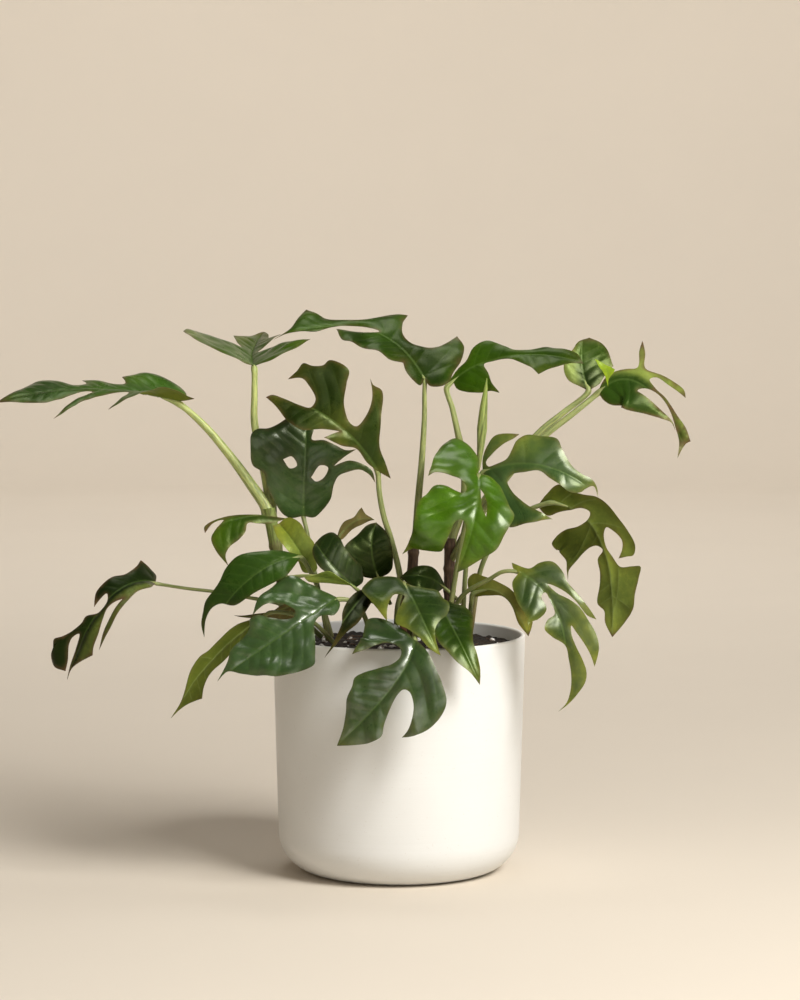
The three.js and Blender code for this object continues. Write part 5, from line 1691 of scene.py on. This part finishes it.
# Each stalk's route from its foot to its leaf, in mm from the soil's middle, its radii from foot to
# leaf, how far its foot is flushed red, and how light it is. A stalk has the number of its leaf.
STALKS = {
    "01": stalk_route(
        [(-87, -10, 84), (-89, -7, 94), (-97, -6, 106), (-113, -4, 128), (-131, -3, 149)],
        radii=[4.6, 3.7, 3.0, 2.5, 2.0], light=1.4,
    ),
    "02": stalk_route(
        [(-86, -9, 84), (-86, -3, 95), (-89, 0, 113), (-93, 2, 130), (-97, 3, 150), (-97, 4, 169)],
        radii=[4.2, 3.6, 2.8, 2.3, 1.9], light=1.45,
    ),
    "03": stalk_route(
        [(10, -12, 58), (11, -12, 69), (13, -12, 100), (15, -10, 122), (17, -8, 155), (17, -8, 171)],
        radii=[2.8, 2.5, 2.2, 1.8, 1.4], red=0.1, light=0.9,
    ),
    "04": stalk_route(
        [(35, -8, 62), (36, -4, 73), (44, 2, 98), (44, 8, 123), (40, 10, 141), (36, 12, 159)],
        radii=[2.8, 3.1, 3.0, 2.1, 1.7], red=0.1, light=1.1,
    ),
    "05": stalk_route(
        [(35, -8, 58), (40, -2, 68), (53, 4, 91), (75, 10, 120), (96, 14, 144), (111, 16, 156)],
        radii=[2.3, 2.4, 2.4, 2.2, 1.8], red=0.1, light=1.0,
    ),
    "06": stalk_route(
        [(35, -9, 58), (39, -14, 66), (54, -8, 88), (76, 0, 118), (98, 6, 141), (116, 8, 155)],
        radii=[2.3, 2.4, 2.4, 2.2, 1.8], red=0.1, light=0.9,
    ),
    "08": stalk_route(
        [(3, -30, 7), (1, -34, 48), (-5, -34, 74), (-10, -34, 90), (-13, -34, 106)],
        radii=[2.4, 2.2, 2.0, 1.9, 1.7], red=0.9, light=0.8,
    ),
    "09": stalk_route(
        [(-45, -14, 7), (-54, -12, 39), (-60, -8, 69), (-62, -7, 79)],
        radii=[1.8, 1.6, 1.4], red=0.2,
    ),
    "11": stalk_route([(-47, -36, 8), (-53, -44, 42), (-59, -47, 56)], radii=[1.8, 1.6, 1.5], red=0.2),
    "12": stalk_route(
        [(-51, -30, 9), (-76, -30, 30), (-99, -26, 35), (-123, -25, 39), (-141, -24, 41)],
        radii=[1.8, 1.5, 1.2, 1.1, 1.1],
    ),
    "13": stalk_route([(-42, -44, 6), (-57, -52, 22), (-72, -56, 28)], radii=[1.6, 1.4, 1.2], red=0.1),
    "14": stalk_route([(-18, -36, 7), (-24, -56, 29), (-32, -68, 38)], radii=[1.8, 1.6, 1.5], red=0.1),
    "15": stalk_route([(9, -42, 5), (9, -62, 23), (10, -84, 28)], radii=[1.8, 1.6, 1.5], red=0.1),
    "16": stalk_route([(-2, -40, 6), (-1, -54, 33), (2, -60, 44)]),
    "17": stalk_route([(19, -34, 5), (20, -46, 28)]),
    "18": stalk_route([(30, -44, 5), (39, -42, 61), (47, -50, 102)], radii=[1.8, 1.7, 1.6], red=0.2),
    "19": stalk_route([(42, -20, 8), (45, -26, 60), (50, -34, 94)]),
    "20": stalk_route([(48, 0, 8), (57, -6, 58), (76, -10, 86)], radii=[1.8, 1.7, 1.6], red=0.5),
    "21": stalk_route(
        [(27, -18, 5), (42, -40, 38), (59, -52, 50), (69, -58, 56)],
        radii=[1.7, 1.5, 1.3], red=0.5,
    ),
    "22": stalk_route([(41, 8, 5), (47, -12, 21), (48, -31, 32)]),
}


class PLANT_OT_stems(bpy.types.Operator):
    """Grows the stems and the leaf stalks"""

    bl_idname = "plant.stems"
    bl_label = "Stems and stalks"

    def execute(self, context):
        stalk = context.scene.plant_stalk
        for name, (points, foot, top, green_from) in STEMS.items():
            self.add_stem(name, points, foot, top, green_from, stalk)
        for number, (points, radii, red, light) in STALKS.items():
            self.add_stalk(number, points, radii, red, light, stalk)
        return {"FINISHED"}

    def add_stem(self, name, points, foot, top, green_from, stalk):
        """A stem with swollen rings where old leaves grew."""
        route = place(cut_curve([np.array(p, float) * MM for p in points], stalk.step / 2))
        share = np.linspace(0, 1, len(route))
        rings = np.array([0.16, 0.36, 0.55, 0.74, 0.93])
        swell = sum(0.16 * np.exp(-(((share - ring) / 0.022) ** 2)) for ring in rings)
        radii = (foot + (top - foot) * share) * MM * (1 + swell)
        green = smoothstep(green_from - 0.2, green_from + 0.1, share)[:, None]
        scar = np.clip(swell * 3.0, 0, 1)[:, None]
        tones = np.array(stalk.bark) * (1 - green) + np.array(stalk.shade) * 1.6 * green
        tones = tones * (1 - scar * 0.6) + np.array(stalk.bark_light) * scar * 0.6
        obj = stalk_object(name + "_bark", route, radii, tones, stalk, sides=stalk.sides + 8)
        obj.data.materials[0] = stem_material()
        finish_piece(obj, "stem", name)

    def add_stalk(self, number, points, radii, red, light, stalk):
        """A stalk that runs on under its blade as the start of the midrib."""
        blade = BLADES["leaf_" + number]
        zero = np.zeros(3)
        reach = np.array([-0.5, 4.5, 12.0])
        depth = radii[-1] * np.array([1.0, 0.75, 0.4]) + 0.15
        end = blade.at(zero, reach) - blade.normal_at(zero + 0.01, reach) * depth[:, None]
        route = place(cut_curve([*np.array(points, float) * MM, *end * MM], stalk.step))
        run = np.r_[0.0, np.cumsum(np.linalg.norm(np.diff(route, axis=0), axis=1))]
        free = run[-1] - 12 * MM
        share = np.clip(run / free, 0, 1)
        radius = np.interp(share, np.linspace(0, 1, len(radii)), radii) * MM
        knee = 0.22 * np.exp(-(((run - free) / (3.0 * MM)) ** 2))
        radius = radius * (1 + knee) * np.interp(run, (free, run[-1]), (1.0, 0.3))
        flush = red * (1 - smoothstep(0.0, 0.45, share))[:, None]
        pale = light * (0.9 + 0.2 * share)[:, None]
        tones = np.array(stalk.green) * pale * (1 - flush) + np.array(stalk.red) * flush
        obj = stalk_object("stalk_" + number + "_skin", route, radius, tones, stalk)
        finish_piece(obj, "stalk", "stalk_" + number)


class PLANT_OT_new_leaf(bpy.types.Operator):
    """Rolls the new leaf into a slender spindle with its seam"""

    bl_idname = "plant.new_leaf"
    bl_label = "New leaf"

    def execute(self, context):
        stalk = context.scene.plant_stalk
        leaf = context.scene.plant_leaf
        foot, aim = np.array(NEW_LEAF[0], float), np.array(NEW_LEAF[1], float)
        up = unit(aim - foot)
        side = unit(np.cross(up, (0.0, 1.0, 0.0)))
        front = np.cross(side, up)
        rings, sides = 60, 48
        share = np.linspace(0, 1, rings)
        widths = np.interp(share, (0, 0.02, 0.2, 0.45, 0.7, 0.9, 1), (0.3, 0.35, 0.62, 1, 0.74, 0.33, 0.04))
        points, tones = [], []
        for s, w in zip(share, widths):
            centre = foot + up * s * NEW_LEAF_LENGTH + side * 1.6 * math.sin(math.pi * s) ** 2 * (s - 0.4)
            for j in range(sides):
                turn = 2 * math.pi * j / sides
                roll = (turn / (2 * math.pi) + s * 0.55) % 1.0
                radius = NEW_LEAF_RADIUS * w * (0.86 + 0.14 * smoothstep(0.0, 0.1, roll) * (1 - 0.35 * roll))
                out = side * radius * math.cos(turn) * 0.95
                points.append(centre + out + front * radius * math.sin(turn) * 0.8)
                # Painted shade: the tone darkens along the seam, where the rolled edge lies over the blade.
                seam = math.exp(-((min(roll, 1 - roll) / 0.03) ** 2))
                green = np.array(stalk.green) * (1 - s * 0.4) + np.array(leaf.young) * s * 0.4
                tones.append(green * (1 - 0.35 * seam))
        count = len(points)
        points += [foot - up * 1.0, foot + up * NEW_LEAF_LENGTH]
        tones += [tones[0], tones[-1]]
        faces = []
        for i in range(rings - 1):
            for j in range(sides):
                k = (j + 1) % sides
                faces.append((i * sides + j, (i + 1) * sides + j, (i + 1) * sides + k, i * sides + k))
        last = (rings - 1) * sides
        for j in range(sides):
            k = (j + 1) % sides
            faces += [(count, j, k), (count + 1, last + k, last + j)]
        obj = mesh_object("rolled_leaf", place(np.array(points) * MM), faces, [stalk_material()])
        turns = [(j / sides, s * NEW_LEAF_LENGTH * MM) for s in share for j in range(sides)]
        add_uv(obj.data, "stalk", [*turns, (0.0, 0.0), (0.0, NEW_LEAF_LENGTH * MM)])
        add_colours(obj.data, "tone", tones)
        activate(obj)
        bpy.ops.object.mode_set(mode="EDIT")
        bpy.ops.mesh.select_all(action="SELECT")
        bpy.ops.mesh.normals_make_consistent(inside=False)
        bpy.ops.object.mode_set(mode="OBJECT")
        finish_piece(obj, "young_leaf", "new_leaf")
        return {"FINISHED"}


NEW_LEAF = [(53, -10, 119), (57, -12, 163)]  # its foot, and a point that it aims at
NEW_LEAF_LENGTH = 62.0
NEW_LEAF_RADIUS = 3.7


# ---- stage ----


def area_light(name, place_at, aim, size, watts, tint):
    """A large soft light that looks at a point."""
    data = bpy.data.lights.new(name, "AREA")
    data.shape, data.size, data.energy, data.color = "DISK", size, watts, tint
    light = bpy.data.objects.new(name, data)
    bpy.context.scene.collection.objects.link(light)
    light.location = place_at
    light.rotation_euler = (Vector(aim) - Vector(place_at)).to_track_quat("-Z", "Y").to_euler()
    return light


class PLANT_OT_stage(bpy.types.Operator):
    """Lays the pale floor with its rising edge, the lights and the camera"""

    bl_idname = "plant.stage"
    bl_label = "Stage"

    def execute(self, context):
        stage = context.scene.plant_stage
        outline = [(stage.radius * share, 0.0) for share in (0.02, 0.1, 0.3, 0.6, 0.8)]
        outline += round_points(stage.radius * 0.8, stage.radius * 0.3, stage.radius * 0.3, -90, 0, 12)
        outline.append((stage.radius * 1.1, stage.radius * 0.9))
        deselect()
        radius, height = outline[0]
        bpy.ops.mesh.primitive_circle_add(vertices=96, radius=radius, fill_type="NGON")
        floor = context.object
        floor.name = floor.data.name = "floor"
        bpy.ops.object.mode_set(mode="EDIT")
        bpy.ops.mesh.select_all(action="SELECT")
        bpy.ops.mesh.select_mode(type="EDGE")
        bpy.ops.mesh.region_to_loop()
        for new_radius, new_height in outline[1:]:
            bpy.ops.mesh.extrude_edges_move(TRANSFORM_OT_translate={"value": (0, 0, new_height - height)})
            share = new_radius / radius
            bpy.ops.transform.resize(value=(share, share, 1), center_override=(0, 0, 0))
            radius, height = new_radius, new_height
        bpy.ops.object.mode_set(mode="OBJECT")
        floor.data.shade_smooth()
        floor.data.materials.append(floor_material())
        self.add_lights(context, stage)
        self.add_camera(context, stage)
        return {"FINISHED"}

    def add_lights(self, context, stage):
        """A soft key from the front right, a weak fill in front, and lights above and behind."""
        area_light("key", (1.15, -1.32, 1.5), (0, 0, 0.15), 1.0, stage.key, (1.0, 0.985, 0.95))
        area_light("fill", (0.1, -2.6, 1.1), (0, 0, 0.2), 1.6, stage.fill, (1.0, 0.99, 0.97))
        area_light("top", (-0.1, 0.45, 2.1), (0, 0, 0.2), 0.8, stage.top, (1.0, 0.99, 0.97))
        area_light("backdrop", (0, 1.6, 2.6), (0, 4.2, 1.2), 2.0, stage.backdrop, (1.0, 0.99, 0.97))
        world = bpy.data.worlds.new("soft light")
        world.use_nodes = True
        back = world.node_tree.nodes["Background"]
        back.inputs["Color"].default_value = (1.0, 0.98, 0.95, 1.0)
        back.inputs["Strength"].default_value = stage.sky
        context.scene.world = world
        context.scene.view_settings.view_transform = "Standard"

    def add_camera(self, context, stage):
        """The camera in front of the plant, a little above it."""
        data = bpy.data.cameras.new("camera")
        data.lens, data.sensor_width = stage.lens, 36.0
        camera = bpy.data.objects.new("camera", data)
        context.scene.collection.objects.link(camera)
        camera.location = (0.0007, FRONT * stage.camera_distance, stage.camera_height)
        camera.rotation_euler = (math.pi / 2 - stage.camera_tilt, 0.0, 0.0)
        context.scene.camera = camera


# ---- panel and registration ----


OPERATORS = (PLANT_OT_stage, PLANT_OT_pot, PLANT_OT_soil, PLANT_OT_leaves, PLANT_OT_stems, PLANT_OT_new_leaf)
SETTINGS = dict(
    plant_pot=PotSettings,
    plant_soil=SoilSettings,
    plant_leaf=LeafSettings,
    plant_stalk=StalkSettings,
    plant_stage=StageSettings,
)


class PLANT_PT_panel(bpy.types.Panel):
    """Builds the plant piece by piece and shows its sizes and colours"""

    bl_label = "Potted plant"
    bl_idname = "PLANT_PT_panel"
    bl_space_type = "VIEW_3D"
    bl_region_type = "UI"
    bl_category = "Plant"

    def draw(self, context):
        for operator in OPERATORS:
            self.layout.operator(operator.bl_idname)
        for name in SETTINGS:
            box = self.layout.box()
            settings = getattr(context.scene, name)
            for key in settings.bl_rna.properties.keys():
                if key not in ("rna_type", "name"):
                    box.prop(settings, key)


def register():
    for group in SETTINGS.values():
        bpy.utils.register_class(group)
    for name, group in SETTINGS.items():
        setattr(bpy.types.Scene, name, PointerProperty(type=group))
    for operator in OPERATORS:
        bpy.utils.register_class(operator)
    bpy.utils.register_class(PLANT_PT_panel)


def unregister():
    bpy.utils.unregister_class(PLANT_PT_panel)
    for operator in reversed(OPERATORS):
        bpy.utils.unregister_class(operator)
    for name in SETTINGS:
        delattr(bpy.types.Scene, name)
    for group in SETTINGS.values():
        bpy.utils.unregister_class(group)


def main():
    """Builds every piece in order."""
    register()
    for operator in (
        bpy.ops.plant.stage,
        bpy.ops.plant.pot,
        bpy.ops.plant.soil,
        bpy.ops.plant.leaves,
        bpy.ops.plant.stems,
        bpy.ops.plant.new_leaf,
    ):
        operator()


if __name__ == "__main__":
    main()
